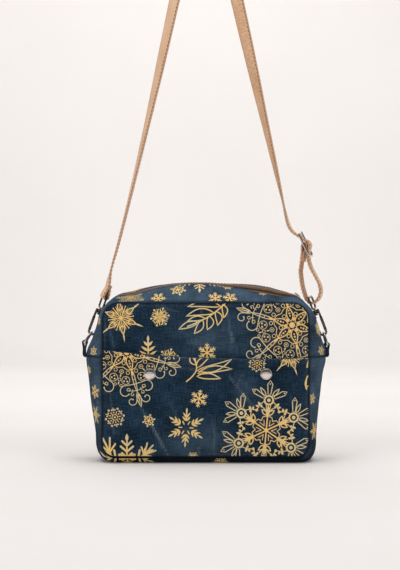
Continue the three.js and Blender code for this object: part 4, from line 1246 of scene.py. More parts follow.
@dataclass(frozen=True)
class Stitch:
    """Length and pitch of a row's stitches, and half of the thread's thickness."""

    length: float
    pitch: float
    radius: float

    def row(self, line: Array, normal: Array) -> Shape:
        """Row of short stitches along a line on a surface.

        Args:
            line: Close points along the row.
            normal: Direction out of the surface at each point.

        Returns:
            All stitches of the row.
        """
        reached = travelled(line)
        shares = np.array([0, 0.12, 0.5, 0.88, 1])
        swell = np.array([0.45, 0.95, 1, 0.95, 0.45]) * self.radius
        height = np.array([-0.5, 0.2, 0.5, 0.2, -0.5]) * self.radius
        stitches = []
        for start in np.arange(0.3, reached[-1] - self.length, self.pitch):
            at = start + self.length * shares
            points = np.stack([np.interp(at, reached, line[:, axis]) for axis in range(3)], -1)
            up = unit(np.stack([np.interp(at, reached, normal[:, axis]) for axis in range(3)], -1))
            side = unit(np.cross(up, tangents(points)))
            middle = points + height[:, None] * up
            stitches.append(loft(middle[:, None] + swell[:, None, None] * spokes(turns(6), side, up)))
        return joined(stitches)


CANVAS_STITCH = Stitch(length=2.4, pitch=3.3, radius=0.28)
STRAP_STITCH = Stitch(length=2.9, pitch=4.2, radius=0.36)


# Print


class Figure(Enum):
    """Kinds of printed winter figures."""

    LACE = "lace"
    CRYSTAL = "crystal"
    BURST = "burst"
    ROSETTE = "rosette"
    WREATH = "wreath"
    FLUFF = "fluff"
    PETAL = "petal"
    SPEAR = "spear"
    PINE = "pine"
    SPRAY = "spray"
    TREE = "tree"


LACE, CRYSTAL, BURST, ROSETTE, WREATH, FLUFF, PETAL, SPEAR, PINE, SPRAY, TREE = Figure


def around(degrees: float) -> complex:
    """Direction at an angle on the cloth."""
    return complex(math.cos(math.radians(degrees)), math.sin(math.radians(degrees)))


@dataclass
class Stencil:
    """Solid areas of one printed figure, drawn about its centre with a reach of one."""

    areas: list[Array] = field(default_factory=list)

    def dot(self, centre: complex, radius: float, sides: int = 10) -> None:
        """Filled round spot."""
        self.areas.append(centre + radius * np.exp(2j * np.pi * np.arange(sides) / sides))

    def stroke(self, points: Sequence[complex], width: float, closed: bool = False) -> None:
        """Line of even width, with round ends unless it is a loop."""
        line = np.array(points, complex)
        ahead = np.roll(line, -1) - np.roll(line, 1) if closed else np.gradient(line)
        side = 0.5j * width * ahead / np.abs(ahead)
        left, right = line + side, line - side
        for i in range(len(line) - (0 if closed else 1)):
            j = (i + 1) % len(line)
            self.areas.append(np.array([left[i], right[i], right[j], left[j]]))
        if not closed:
            self.dot(line[0], width / 2, 8)
            self.dot(line[-1], width / 2, 8)

    def ring(self, centre: complex, radius: float, width: float) -> None:
        """Round outline."""
        self.stroke(centre + radius * np.exp(2j * np.pi * np.arange(12) / 12), width, True)

    def lens(self, base: complex, tip: complex, half: float, bend: float = 0.0) -> Array:
        """Outline of a pointed leaf from its base to its tip, bowed to its left by a bend."""
        share = np.linspace(0, 1, 9)
        side = 1j * (tip - base) / abs(tip - base)
        swell = half * np.sin(np.pi * share**0.8) * side
        spine = base + (tip - base) * share + bend * np.sin(np.pi * share) * side
        return np.concatenate([(spine - swell)[:-1], (spine + swell)[:0:-1]])

    def blade(self, base: complex, tip: complex, half: float) -> None:
        """Filled leaf."""
        self.areas.append(self.lens(base, tip, half))

    def leaf(self, base: complex, tip: complex, half: float, width: float, bend: float = 0.0) -> None:
        """Outlined leaf."""
        self.stroke(self.lens(base, tip, half, bend), width, True)

    def bar(self, base: complex, tip: complex, half: float, width: float) -> None:
        """Outlined bar that widens towards a pointed end."""
        way = tip - base
        side = 1j * way / abs(way)
        ends = [(0.0, 0.55), (0.72, 1.0), (1.0, 0.0), (0.72, -1.0), (0.0, -0.55)]
        self.stroke([base + way * along + side * half * out for along, out in ends], width, True)

    def curl(
        self, root: complex, centre: complex, radius: float, start: float,
        rounds: float, width: float, wind: float,
    ) -> None:
        """Scroll that ends in a bead.

        Args:
            root: Where it leaves the arm.
            centre: Middle of its winding.
            radius: Radius at its start.
            start: Angle at its start.
            rounds: How many rounds it makes, to the right where negative.
            width: Width of its line.
            wind: Share of the radius that it loses.
        """
        share = np.linspace(0, 1, 22)
        arms = radius * (1 - wind * share) * np.exp(1j * np.radians(start + 360 * rounds * share))
        self.stroke(np.concatenate([[root], centre + arms]), width)
        self.dot(centre + arms[-1], width, 8)

    def doubled(self) -> "Stencil":
        """This figure with its mirror image."""
        return Stencil(self.areas + [np.conj(area)[::-1] for area in self.areas])

    def spun(self, turn: float = 0.0) -> "Stencil":
        """Six copies round the centre."""
        return Stencil([area * around(turn + 60 * step) for step in range(6) for area in self.areas])

    def placed(self, centre: complex, reach: float, turn: float) -> list[Array]:
        """Areas at a place on the cloth, in millimetres."""
        return [centre + area * reach * around(turn) for area in self.areas]


@dataclass(frozen=True)
class Recipe:
    """How a six-armed figure is drawn, as rows of a Stencil method's name and its arguments.

    Marks lie in the middle of an arm, on both halves of it, between two arms or about the centre.
    """

    arm: tuple[tuple, ...] = ()
    half: tuple[tuple, ...] = ()
    between: tuple[tuple, ...] = ()
    core: tuple[tuple, ...] = ()

    def stencil(self) -> Stencil:
        """All areas of the figure."""
        parts = []
        for rows in (self.arm, self.half, self.between, self.core):
            part = Stencil()
            for method, *values in rows:
                getattr(part, method)(*values)
            parts.append(part)
        arm, half, between, core = parts
        arms = Stencil(arm.areas + half.doubled().areas).spun()
        return Stencil(arms.areas + between.spun(30).areas + core.areas)


BULB = 0.605
WIDE, NARROW = around(61), around(38)
FLOWER = 0.5 * around(17)
RECIPES: dict[Figure, Recipe] = {}
RECIPES[LACE] = Recipe(
    arm=(
        ("leaf", 0.07, 0.33, 0.054, 0.018), ("dot", 0.16, 0.014, 6), ("dot", 0.205, 0.018, 6),
        ("dot", 0.255, 0.014, 6), ("leaf", 0.31, 0.75, 0.024, 0.014), ("blade", 0.34, 0.44, 0.012),
        ("dot", 0.5, 0.012, 6), ("dot", 0.58, 0.012, 6), ("leaf", 0.73, 1.0, 0.036, 0.015),
        ("blade", 0.76, 0.95, 0.01),
    ),
    half=(
        ("curl", 0.58 + 0.01j, 0.668 + 0.2j, 0.108, 205, -0.66, 0.0145, 0.3),
        ("curl", 0.775 + 0.01j, 0.862 + 0.132j, 0.084, -65, 0.8, 0.0135, 0.62),
        ("curl", 0.7 + 0.02j, 0.655 + 0.135j, 0.036, 70, 0.8, 0.011, 0.5),
        ("curl", 0.665 + 0.07j, 0.75 + 0.092j, 0.034, -160, -0.8, 0.011, 0.5), ("ring", FLOWER, 0.072, 0.01),
        *(("dot", FLOWER + 0.034 * around(turn), 0.017, 6) for turn in (80, 200, 320)),
        ("ring", 0.365 * around(12), 0.03, 0.0095), ("ring", 0.6 * around(25), 0.022, 0.009),
        ("stroke", (0.33, 0.31 * around(15), 0.27 * around(30)), 0.0125),
    ),
    between=(
        ("blade", 0.07, 0.16, 0.016), ("ring", 0.2, 0.03, 0.0105), ("ring", 0.355, 0.036, 0.0095),
        ("dot", 0.355, 0.014, 6), ("blade", 0.4, 0.46, 0.012), ("ring", 0.5, 0.026, 0.0095),
        ("blade", 0.535, 0.6, 0.012),
    ),
    core=(("dot", 0, 0.05, 14),),
)
RECIPES[CRYSTAL] = Recipe(
    arm=(
        ("stroke", (0, 0.3), 0.026), ("blade", 0.24, 0.52, 0.036), ("dot", BULB, 0.037),
        ("ring", BULB, 0.088, 0.036), ("bar", 0.725, 1.0, 0.05, 0.018), ("dot", 0.93, 0.014, 6),
    ),
    half=(
        ("bar", BULB + 0.12 * WIDE, BULB + 0.4 * WIDE, 0.047, 0.018), ("dot", BULB + 0.34 * WIDE, 0.014, 6),
        ("leaf", BULB + 0.11 * NARROW, BULB + 0.31 * NARROW, 0.03, 0.017),
        ("stroke", (0.36 + 0.02j, 0.51 + 0.045j), 0.018),
        ("stroke", (0.57 + 0.1j, 0.53 * around(19), 0.45 * around(30)), 0.018),
        ("blade", 0.52 * around(18), 0.6 * around(21), 0.026),
        ("blade", 0.5 * around(22), 0.55 * around(28), 0.022),
        ("blade", 0.53 * around(17), 0.46 * around(15), 0.024), ("stroke", (0.36, 0.45 + 0.1j), 0.02),
        ("leaf", 0.31 + 0.01j, 0.41 + 0.125j, 0.034, 0.022), ("stroke", (0.29, 0.28 * around(19)), 0.016),
        ("stroke", (0.28 * around(19), 0.22 * around(30)), 0.016),
    ),
    between=(
        ("stroke", (0.21 * around(13), 0.1), 0.014), ("stroke", (0.1, 0.21 * around(-13)), 0.014),
        ("dot", 0.45, 0.03, 8),
    ),
    core=(("dot", 0, 0.04, 12),),
)
RECIPES[BURST] = Recipe(
    arm=(("stroke", (0.36, 0.86), 0.06), ("blade", 0.74, 1.02, 0.05)),
    half=(("blade", 0.5, 0.78 + 0.18j, 0.048), ("blade", 0.34, 0.57 + 0.21j, 0.052)),
    between=(("stroke", (0.2, 0.36), 0.055),),
)
RECIPES[ROSETTE] = Recipe(
    arm=(("stroke", (0.05, 0.72), 0.075), ("dot", 0.88, 0.11, 8)),
    half=(("blade", 0.28, 0.86 + 0.3j, 0.062), ("blade", 0.2, 0.6 + 0.17j, 0.036)),
    between=(("blade", 0.1, 0.6, 0.042), ("dot", 0.74, 0.07, 8)),
)
RECIPES[WREATH] = Recipe(
    arm=(("stroke", (0.34, 0.6), 0.07), ("dot", 0.88, 0.11, 8)),
    half=(("dot", 0.74 * around(18), 0.085, 8),),
    between=(("dot", 0.48, 0.07, 8), ("stroke", (0.66, 0.92), 0.08)),
    core=(("dot", 0, 0.1), ("ring", 0, 0.27, 0.06)),
)
RECIPES[FLUFF] = Recipe(
    arm=(("blade", 0.0, 1.0, 0.075),),
    half=(("blade", 0.34, 0.63 + 0.27j, 0.066), ("blade", 0.6, 0.87 + 0.2j, 0.053)),
    core=(("dot", 0, 0.14, 12),),
)
RECIPES[PETAL] = Recipe(
    arm=(("stroke", (0.0, 0.66), 0.12), ("dot", 0.82, 0.135)), half=(("dot", 0.52 + 0.22j, 0.11, 8),),
    core=(("dot", 0, 0.18, 12),),
)
RECIPES[SPEAR] = Recipe(
    arm=(
        ("leaf", 0.3, 0.67, 0.08, 0.045), ("blade", 0, 0.58, 0.02), ("blade", 0.58, 1.0, 0.03),
        ("dot", 0.77, 0.04, 8),
    ),
    half=(("blade", 0.2 * around(15), 0.54 * around(17), 0.022),),
    between=(("blade", 0.03, 0.55, 0.03), ("dot", 0.51, 0.03, 8)),
    core=(("dot", 0, 0.08, 12),),
)
RECIPES[PINE] = Recipe(
    arm=(("stroke", (0.0, 0.9), 0.05), ("blade", 0.8, 1.06, 0.055)),
    half=(
        ("stroke", (0.24, 0.4 + 0.17j), 0.065), ("stroke", (0.44, 0.62 + 0.21j), 0.07),
        ("stroke", (0.64, 0.8 + 0.16j), 0.065),
    ),
    between=(("blade", 0.12, 0.46, 0.05),),
)
RECIPES[TREE] = Recipe(
    core=(
        ("stroke", (0, 0.85), 0.07), ("blade", 0.74, 1.04, 0.06), ("blade", 0.04, 0.3 + 0.42j, 0.06),
        ("blade", 0.04, 0.3 - 0.42j, 0.06), ("blade", 0.28, 0.52 + 0.34j, 0.06),
        ("blade", 0.28, 0.52 - 0.34j, 0.06), ("blade", 0.52, 0.76 + 0.22j, 0.06),
        ("blade", 0.52, 0.76 - 0.22j, 0.06),
    ),
)
RECIPES[SPRAY] = Recipe(
    core=(
        ("stroke", (0, 0.95), 0.1), ("stroke", (0.12, 0.88 * around(24)), 0.1),
        ("stroke", (0.1, 0.6 * around(52)), 0.1), ("stroke", (0.12, 0.88 * around(-24)), 0.1),
        ("stroke", (0.1, 0.6 * around(-52)), 0.1),
    ),
)


@dataclass(frozen=True)
class Sprig:
    """Leafy twig in outline, drawn straight on the cloth in millimetres."""

    stem: tuple[complex, ...]
    leaves: tuple[tuple[complex, complex, float, float], ...]
    line: float = 1.15

    def areas(self) -> list[Array]:
        """Stem, and leaves from their base, tip, half width and bend."""
        stencil = Stencil()
        flat = np.array([[point.real, point.imag, 0] for point in self.stem])
        curve = catmull(flat, 8)
        stencil.stroke(curve[:, 0] + 1j * curve[:, 1], self.line * 1.1)
        for base, tip, half, bend in self.leaves:
            stencil.leaf(base, tip, half, self.line, bend)
        return stencil.areas


def catmull(points: Array, steps: int) -> Array:
    """Smooth curve through points, with its speed eased by their spacing.

    Args:
        points: Points that the curve passes through.
        steps: Steps between neighbouring points.

    Returns:
        Points along the curve.
    """
    line = np.concatenate([[2 * points[0] - points[1]], points, [2 * points[-1] - points[-2]]])
    share = np.linspace(0, 1, steps + 1)[:-1, None]
    curve = []
    for p0, p1, p2, p3 in zip(line, line[1:], line[2:], line[3:]):
        d0, d1, d2 = (math.sqrt(np.linalg.norm(b - a)) for a, b in ((p0, p1), (p1, p2), (p2, p3)))
        leave = ((p1 - p0) / d0 - (p2 - p0) / (d0 + d1) + (p2 - p1) / d1) * d1
        reach = ((p2 - p1) / d1 - (p3 - p1) / (d1 + d2) + (p3 - p2) / d2) * d1
        ends = (2 * share**3 - 3 * share**2 + 1) * p1 + (3 * share**2 - 2 * share**3) * p2
        curve.append(ends + (share**3 - 2 * share**2 + share) * leave + (share**3 - share**2) * reach)
    return np.concatenate([*curve, points[-1:]])


@dataclass
class GoldPrint:
    """Gold winter print, a thin film of ink on each canvas piece."""

    bag: BagShape
    inset: float = 1.5
    zip_inset: float = 1.2
    ink: float = 0.12
    seat: float = 0.05
    facet: float = 3.0
    sprig_reach: float = 60.0
    small_reach: float = 1.4
    stencils: dict[Figure, Stencil] = field(default_factory=dict)

    def build(self) -> None:
        """Prints every canvas piece."""
        self.stencils = {figure: recipe.stencil() for figure, recipe in RECIPES.items()}
        bag = self.bag
        self.print_piece("front_panel", bag.face(bag.front_depth, -1), self.panel_region(over_mouth=-4.0))
        pocket = bag.face(bag.pocket_outside, -1)
        self.print_piece("front_pocket", pocket, self.panel_region(under_mouth=-0.9))
        self.print_piece("back_panel", bag.face(bag.back_depth, 1), self.panel_region())
        band = bag.band()
        side, half_depth = bag.side_seam_along, bag.half_depth - self.inset
        corners = np.array([[-1, -1], [1, -1], [1, 1], [-1, 1]])
        self.print_piece("base_gusset", band, corners * (side - self.inset, half_depth))
        run = np.linspace(side + self.inset, 2 * bag.half_seam - side - self.inset, 160)
        for name, facing in (("front", -1), ("back", 1)):
            inner = stacked(run, bag.zip_edge(run, facing, self.zip_inset))
            outer = stacked(run, np.full(len(run), facing * half_depth))
            low, high = (outer, inner) if facing < 0 else (inner, outer)
            self.print_piece(f"zip_strip_{name}", band, np.concatenate([low, high[::-1]]))

    def panel_region(self, over_mouth: float | None = None, under_mouth: float | None = None) -> Array:
        """Part of a panel that takes print.

        Args:
            over_mouth: Height over the pocket's mouth where the region starts, if it does.
            under_mouth: Height over the pocket's mouth where the region ends, if it does.

        Returns:
            Corners of the region.
        """
        x = (self.bag.half_width - self.inset) * np.sin(np.linspace(-1, 1, 90) * math.pi / 2)
        low, high = self.bag.outline(x, self.inset)
        mouth = self.bag.mouth.read("height", x)
        if over_mouth is not None:
            low = np.maximum(low, mouth + over_mouth)
        if under_mouth is not None:
            high = np.minimum(high, mouth + under_mouth)
        return np.concatenate([stacked(x, low), stacked(x, high)[::-1]])

    def print_piece(self, name: str, cloth: Cloth, region: Array) -> None:
        """Lays the film of one canvas piece.

        Args:
            name: Name of the canvas piece's node.
            cloth: Surface under the print.
            region: Corners of the part that takes print.
        """
        flat = bmesh.new()
        flat.verts.layers.float.new("pale")
        for sprig in SPRIGS.get(name, ()):
            self.cut_out(flat, region, sprig.areas(), sprig.stem[0], self.sprig_reach)
        for figure, u, v, reach, turn in FIGURES[name]:
            centre = complex(u, v)
            fade = reach if figure in (LACE, CRYSTAL) else reach * self.small_reach
            self.cut_out(flat, region, self.stencils[figure].placed(centre, reach, turn), centre, fade)
        self.refine(flat)
        make_piece(f"print_{name}", self.film(flat, cloth), INK)
        flat.free()

    def cut_out(
        self, flat: bmesh.types.BMesh, region: Array, areas: Sequence[Array], centre: complex, reach: float,
    ) -> None:
        """Adds the part of a figure that lies inside a region to a flat mesh.

        Args:
            flat: Mesh that is added to.
            region: Corners of the part of the cloth that takes print.
            areas: Solid areas of the figure.
            centre: Place where the ink is brightest.
            reach: Distance from there at which it is palest.
        """
        corners = [Vector(point) for point in region.tolist()]
        faces = [list(range(len(corners)))]
        for area in areas:
            faces.append(list(range(len(corners), len(corners) + len(area))))
            corners += [Vector((point.real, point.imag)) for point in area]
        points, _, found, _, _, sources = delaunay_2d_cdt(corners, [], faces, 1, 1e-4)
        kept = [face for face, source in zip(found, sources) if 0 in source and len(source) > 1]
        pale = flat.verts.layers.float["pale"]
        made = {}
        for number in sorted({number for face in kept for number in face}):
            made[number] = flat.verts.new((*points[number], 0))
            made[number][pale] = min(abs(complex(*points[number]) - centre) / reach, 1)
        for face in kept:
            flat.faces.new([made[number] for number in face])

    def refine(self, flat: bmesh.types.BMesh) -> None:
        """Merges slivers and splits long edges, so that the film can follow the cloth."""
        bmesh.ops.remove_doubles(flat, verts=flat.verts, dist=0.04)
        bmesh.ops.dissolve_degenerate(flat, edges=flat.edges, dist=0.02)
        for _ in range(4):
            long_edges = [edge for edge in flat.edges if edge.calc_length() > self.facet]
            if not long_edges:
                break
            bmesh.ops.subdivide_edges(flat, edges=long_edges, cuts=1)
            bmesh.ops.triangulate(flat, faces=flat.faces)

    def film(self, flat: bmesh.types.BMesh, cloth: Cloth) -> Shape:
        """Lays the figures on the cloth.

        Args:
            flat: Flat mesh of the figures.
            cloth: Surface under them.

        Returns:
            The closed film.
        """
        flat.verts.index_update()
        places = np.array([vertex.co[:2] for vertex in flat.verts])
        count = len(places)
        u, v = places.T
        points = np.concatenate([cloth.lifted(u, v, self.seat + self.ink), cloth.lifted(u, v, self.seat)])
        faces = []
        for face in flat.faces:
            corners = [vertex.index for vertex in face.verts]
            faces += [tuple(corners), tuple(corner + count for corner in reversed(corners))]
        for edge in flat.edges:
            if edge.is_boundary:
                first, second = (vertex.index for vertex in edge.verts)
                faces.append((first, second, second + count, first + count))
        pale = flat.verts.layers.float["pale"]
        marks = {"pale": np.tile([vertex[pale] for vertex in flat.verts], 2)}
        return Shape(points, faces, np.tile(places, (2, 1)), marks)


# Figures on each canvas piece: kind, place along, place across or up, reach and turn
FIGURES = {
    "front_panel": (
        (SPEAR, -88.7, 152.7, 25.5, 39), (ROSETTE, -47.8, 153.8, 10.6, 10), (LACE, 90.8, 145.4, 61, 43),
        (TREE, -59.9, 112, 22, 91), (FLUFF, 1.6, 116.5, 11, 90), (ROSETTE, -38.5, 110.5, 11, 15),
    ),
    "front_pocket": (
        (LACE, -82.4, 117, 59, 45), (FLUFF, -6.8, 68.8, 10.3, 20), (BURST, -20.5, 38.3, 20.6, 87),
        (WREATH, -95, 48.8, 10.8, 12), (PETAL, -59.3, 45.6, 7.4, 15), (PINE, -82.4, -1, 31, 90),
        (SPRAY, -99.5, 10.5, 19, 117), (SPRAY, -65.5, 8, 16.5, 48), (CRYSTAL, 63.5, 35.2, 52.5, 25),
        (ROSETTE, -13.1, 6.5, 6.5, 0), (SPEAR, 88.7, 114, 22.5, 49), (WREATH, 54, 106, 9.8, 25),
    ),
    "back_panel": (
        (CRYSTAL, -52, 118, 50, 12), (LACE, 62, 52, 58, 20), (BURST, 20, 134, 20, 80),
        (SPEAR, -76, 38, 25, 15), (ROSETTE, 70, 140, 10.5, 0), (FLUFF, -22, 62, 10, 25),
        (PETAL, -4, 96, 7.4, 0), (ROSETTE, -98, 82, 10, 14), (PINE, -20, 8, 26, 90), (PETAL, 98, 118, 7, 20),
        (FLUFF, 44, 160, 9, 0), (PETAL, -48, 64, 6.5, 0),
    ),
    "base_gusset": (
        (FLUFF, 164, -33.5, 6.5, 20), (PINE, 129.5, -26, 10, 90), (CRYSTAL, 172, 14, 26, 15),
        (PETAL, 122, 18, 7, 30), (PETAL, -193.5, -17, 5, 0), (FLUFF, -170.8, -27, 8.5, 10),
        (PINE, -146.5, -25, 10, 90), (LACE, -166, 18, 30, 35), (PETAL, -118, -4, 7, 0),
        (FLUFF, -98, 22, 10, 0), (LACE, 0, 12, 34, 10), (PINE, -82, -46, 31, 90), (ROSETTE, 16, -30, 9, 0),
        (CRYSTAL, 64, 30, 30, 20), (PETAL, -48, 24, 7, 0),
    ),
    "zip_strip_front": (
        (LACE, 446, -30, 15.5, 20), (FLUFF, 416.5, -33.5, 8.5, 0), (PETAL, 395.7, -22.5, 9, 15),
        (PINE, 373, 0, 26, 90), (FLUFF, 356.5, -34, 8.5, 30), (FLUFF, 341, -33, 8.5, 10),
        (PETAL, 343, -14, 6, 0), (PETAL, 306, -20, 5, 20), (ROSETTE, 237, -19, 8, 0),
        (PETAL, 214, -22, 6, 20), (PETAL, 520, -27, 6, 0), (PETAL, 488, -29, 5, 0),
    ),
    "zip_strip_back": (
        (ROSETTE, 410, 22, 11, 0), (LACE, 350, 36, 26, 15), (FLUFF, 306, 22, 10, 0), (PETAL, 382, 14, 7, 10),
        (SPEAR, 452, 33, 17, 5), (LACE, 444, 3, 13, 5), (BURST, 232, 22, 14, 0), (PETAL, 274, 18, 6, 0),
        (FLUFF, 506, 20, 10, 30),
    ),
}
UPPER_SPRIG = Sprig(
    (22 + 169j, 12 + 160.5j, 3 + 154j, -8 + 148.5j, -19 + 144j),
    (
        (16 + 165j, -19 + 164.5j, 3.2, -3), (9 + 158j, -20.5 + 154.5j, 3.4, -3),
        (-8 + 148.5j, -28 + 141j, 3.2, -1), (-3 + 151j, -12 + 136.5j, 3.3, 1.5),
        (4 + 155j, 1.8 + 140.5j, 3.6, 2), (11 + 160j, 12.5 + 145j, 3.4, 2.5), (18 + 167j, 19 + 153j, 2.8, 2),
        (0 + 152j, -20 + 148.5j, 2.4, -2),
    ),
)
LOWER_SPRIG = Sprig(
    (-20 + 86.5j, -13.5 + 92.5j, -9.5 + 99j, -11 + 111j),
    (
        (-9 + 98j, 27.5 + 110j, 3.6, -3), (-8 + 95j, 28 + 99.5j, 3.4, 2.5), (-9 + 92j, 16 + 89.5j, 3, 1.5),
        (-9.5 + 101j, 4 + 112j, 3, 2), (-10.5 + 104j, -15 + 115j, 2.4, 1.5),
    ),
)
RIGHT_SPRIG = Sprig(
    (107 + 92j, 104.5 + 84j, 106 + 78j), ((107 + 92j, 105 + 79j, 2, 1.5), (111 + 112j, 106 + 101j, 2.2, 1)),
)
BACK_SPRIG = Sprig(
    (-6 + 30j, 4 + 36j, 12 + 45j, 16 + 56j),
    (
        (0 + 33j, -22 + 30j, 3.4, 2), (4 + 36j, 2 + 16j, 3.2, 1), (8 + 40j, -12 + 48j, 3.4, -2),
        (12 + 46j, -2 + 62j, 3.2, -2), (15 + 53j, 12 + 74j, 3.2, 1), (6 + 38j, 20 + 24j, 3, 2),
    ),
)
SPRIGS = {
    "front_panel": (UPPER_SPRIG,),
    "front_pocket": (LOWER_SPRIG, RIGHT_SPRIG),
    "back_panel": (BACK_SPRIG,),
}


# Closures


@dataclass
class Zipper:
    """Tape, coil and slider of the zip over the top."""

    bag: BagShape
    tape_half: float = 12.0
    tape_thick: float = 1.1
    tape_length: float = 240.0
    coil_half: float = 2.7
    coil_top: float = 0.5
    coil_pitch: float = 1.6
    loop_half: float = 0.62
    loop_rise: float = 1.25
    loop_sink: float = 0.85
    slider_along: float = 271.0
    tape_under: float = 0.9
    slider_size: tuple[float, float, float] = (8.0, 8.0, 1.1)
    pull_size: tuple[float, float, float] = (5.0, 20.0, 1.2)

    def __post_init__(self) -> None:
        """Works out the smooth surface that the zip follows."""
        self.surface = self.bag.band(rolled=False)

    def build(self) -> None:
        """Makes and dresses the zip."""
        self.tape()
        self.coil()
        self.slider()

    def tape(self) -> None:
        """Woven tape under the strips."""
        start = self.bag.zip_end - 4
        run, v = np.meshgrid(
            eased(start, 2 * self.bag.half_seam - start, 150, 0.0),
            eased(-self.tape_half, self.tape_half, 16, 0.0), indexing="ij",
        )
        v = v - self.bag.sided(self.bag.zip_line, run)
        top = self.bag.wall + self.tape_under
        outer = self.surface.lifted(run, v, -top)
        inner = self.surface.lifted(run, v, -top - self.tape_thick)
        band = shell(outer, inner, stacked(run, v))
        piece = make_piece("zip_tape", band, TAPE, ["zipper_tape"])

    def coil(self) -> None:
        """Two rows of interlocking coil loops."""
        first = self.bag.zip_end + 3
        count = int((2 * (self.bag.half_seam - first)) / self.coil_pitch)
        turn = turns(8)
        girth = np.array([0.5, 0.95, 1.0, 1.0, 0.45])[:, None]
        height = 0.5 * self.coil_top - self.loop_sink + girth * self.loop_rise * np.sin(turn)
        loops = []
        for number in range(2 * count):
            hand = -1 if number % 2 else 1
            run = first + (number + 1) * self.coil_pitch / 2
            across = hand * np.array([self.coil_half, self.coil_half - 0.35, 0.6, -0.5, -0.8])
            along = run + girth * self.loop_half * np.cos(turn)
            place = across[:, None] - self.bag.sided(self.bag.zip_line, along)
            loops.append(loft(self.surface.lifted(along, place, height)))
        make_piece("zip_coil", joined(loops), COIL, ["zipper_teeth"])

    def slider(self) -> None:
        """Painted slider with its pull laid back over the rear strip."""
        at = np.array([self.slider_along])
        centre = -self.bag.sided(self.bag.zip_line, at)
        up = self.surface.normal(at, centre + self.pull_size[1] / 2)[0]
        origin = self.surface.place(at, centre)[0] + (self.coil_top + GAP) * up
        forward = unit(np.cross(DEPTH, up))
        axes = np.stack([forward, np.cross(up, forward), up])
        length, width, height = self.slider_size
        parts = (
            ((length, width, height * 0.55), 0.5, (0, 0, height * 0.275)),
            ((length * 0.55, 2.6, height * 0.7), 0.6, (0, 0, height * 0.65)),
            (self.pull_size, 0.55, (0, width / 2 - 1 + self.pull_size[1] / 2, height / 2)),
        )
        boxes = [moved(rounded_box(size, corner), place) for size, corner, place in parts]
        solids = [moved(box, origin, axes) for box in boxes]
        piece = make_piece("zip_slider_cast", fused("slider", solids, 0.28, 4), COIL, ["zip_slider"])
        hole = moved(lathe([(1.3, -4), (1.3, 4)], 24), (0, width / 2 + self.pull_size[1] - 4.5, 0))
        carve(piece, [moved(hole, origin, axes)])


@dataclass
class PocketSnaps:
    """Two polished domed caps that close the pocket."""

    bag: BagShape
    radius: float = 6.2
    height: float = 2.7
    lip: float = 0.55
    foot_inset: float = 0.9
    dome_inset: float = 0.75
    dome_foot: float = 0.95
    seat_gap: float = 0.2
    up: float = 94.5
    places: tuple[tuple[Side, float], ...] = ((Side.LEFT, -58.3), (Side.RIGHT, 63.4))

    def build(self) -> None:
        """Makes and dresses both caps."""
        rim, lip, foot = self.radius, self.lip, self.dome_foot
        profile = [(rim - self.foot_inset, 0.0)]
        for t in np.linspace(math.pi, 0, 9):
            profile.append((rim - lip + lip * math.sin(t), lip - lip * math.cos(math.pi - t)))
        for share in np.linspace(1, 0, 14):
            rise = (self.height - foot) * math.sqrt(1 - share**2)
            profile.append((share * (rim - self.dome_inset), foot + rise))
        turn = np.linspace(0, 2 * np.pi, 24)
        for side, x in self.places:
            under = self.bag.pocket_outside(*arc((x, self.up), rim, turn).T)
            seat = float(np.max(under)) + self.seat_gap
            cap = moved(lathe(profile, 56), (x, -seat, self.up), FACING_FRONT)
            make_piece(f"snap_cap_{side.word}", cap, BRIGHT_METAL, [f"pocket_snap_{side.word}"])


# Side hardware


@dataclass
class HookPlace:
    """Where a snap hook hangs: its own axes run out across and up along it."""

    side: Side
    out: float
    up: float
    degrees: float
    seat: float = -25.75

    def __post_init__(self) -> None:
        """Works out the hook's axes and the middle of its barrel's upper face."""
        hand, tilt = self.side.value, math.radians(self.degrees)
        self.up_way = np.array([-hand * math.sin(tilt), 0, math.cos(tilt)])
        self.out_way = np.array([hand * math.cos(tilt), 0, math.sin(tilt)])
        self.axes = np.stack([self.out_way, DEPTH, self.up_way])
        self.origin = np.array([hand * self.out, 0, self.up]) - self.seat * self.up_way

    def set(self, shape: Shape) -> Shape:
        """Shape carried from the hook's axes to the bag."""
        return moved(shape, self.origin, self.axes)


def bent(start: Sequence[float], corner: Sequence[float], end: Sequence[float]) -> Array:
    """Nine points of a bend drawn towards a corner."""
    t = np.linspace(0, 1, 9)[:, None]
    return (1 - t) ** 2 * np.array(start) + 2 * t * (1 - t) * np.array(corner) + t**2 * np.array(end)


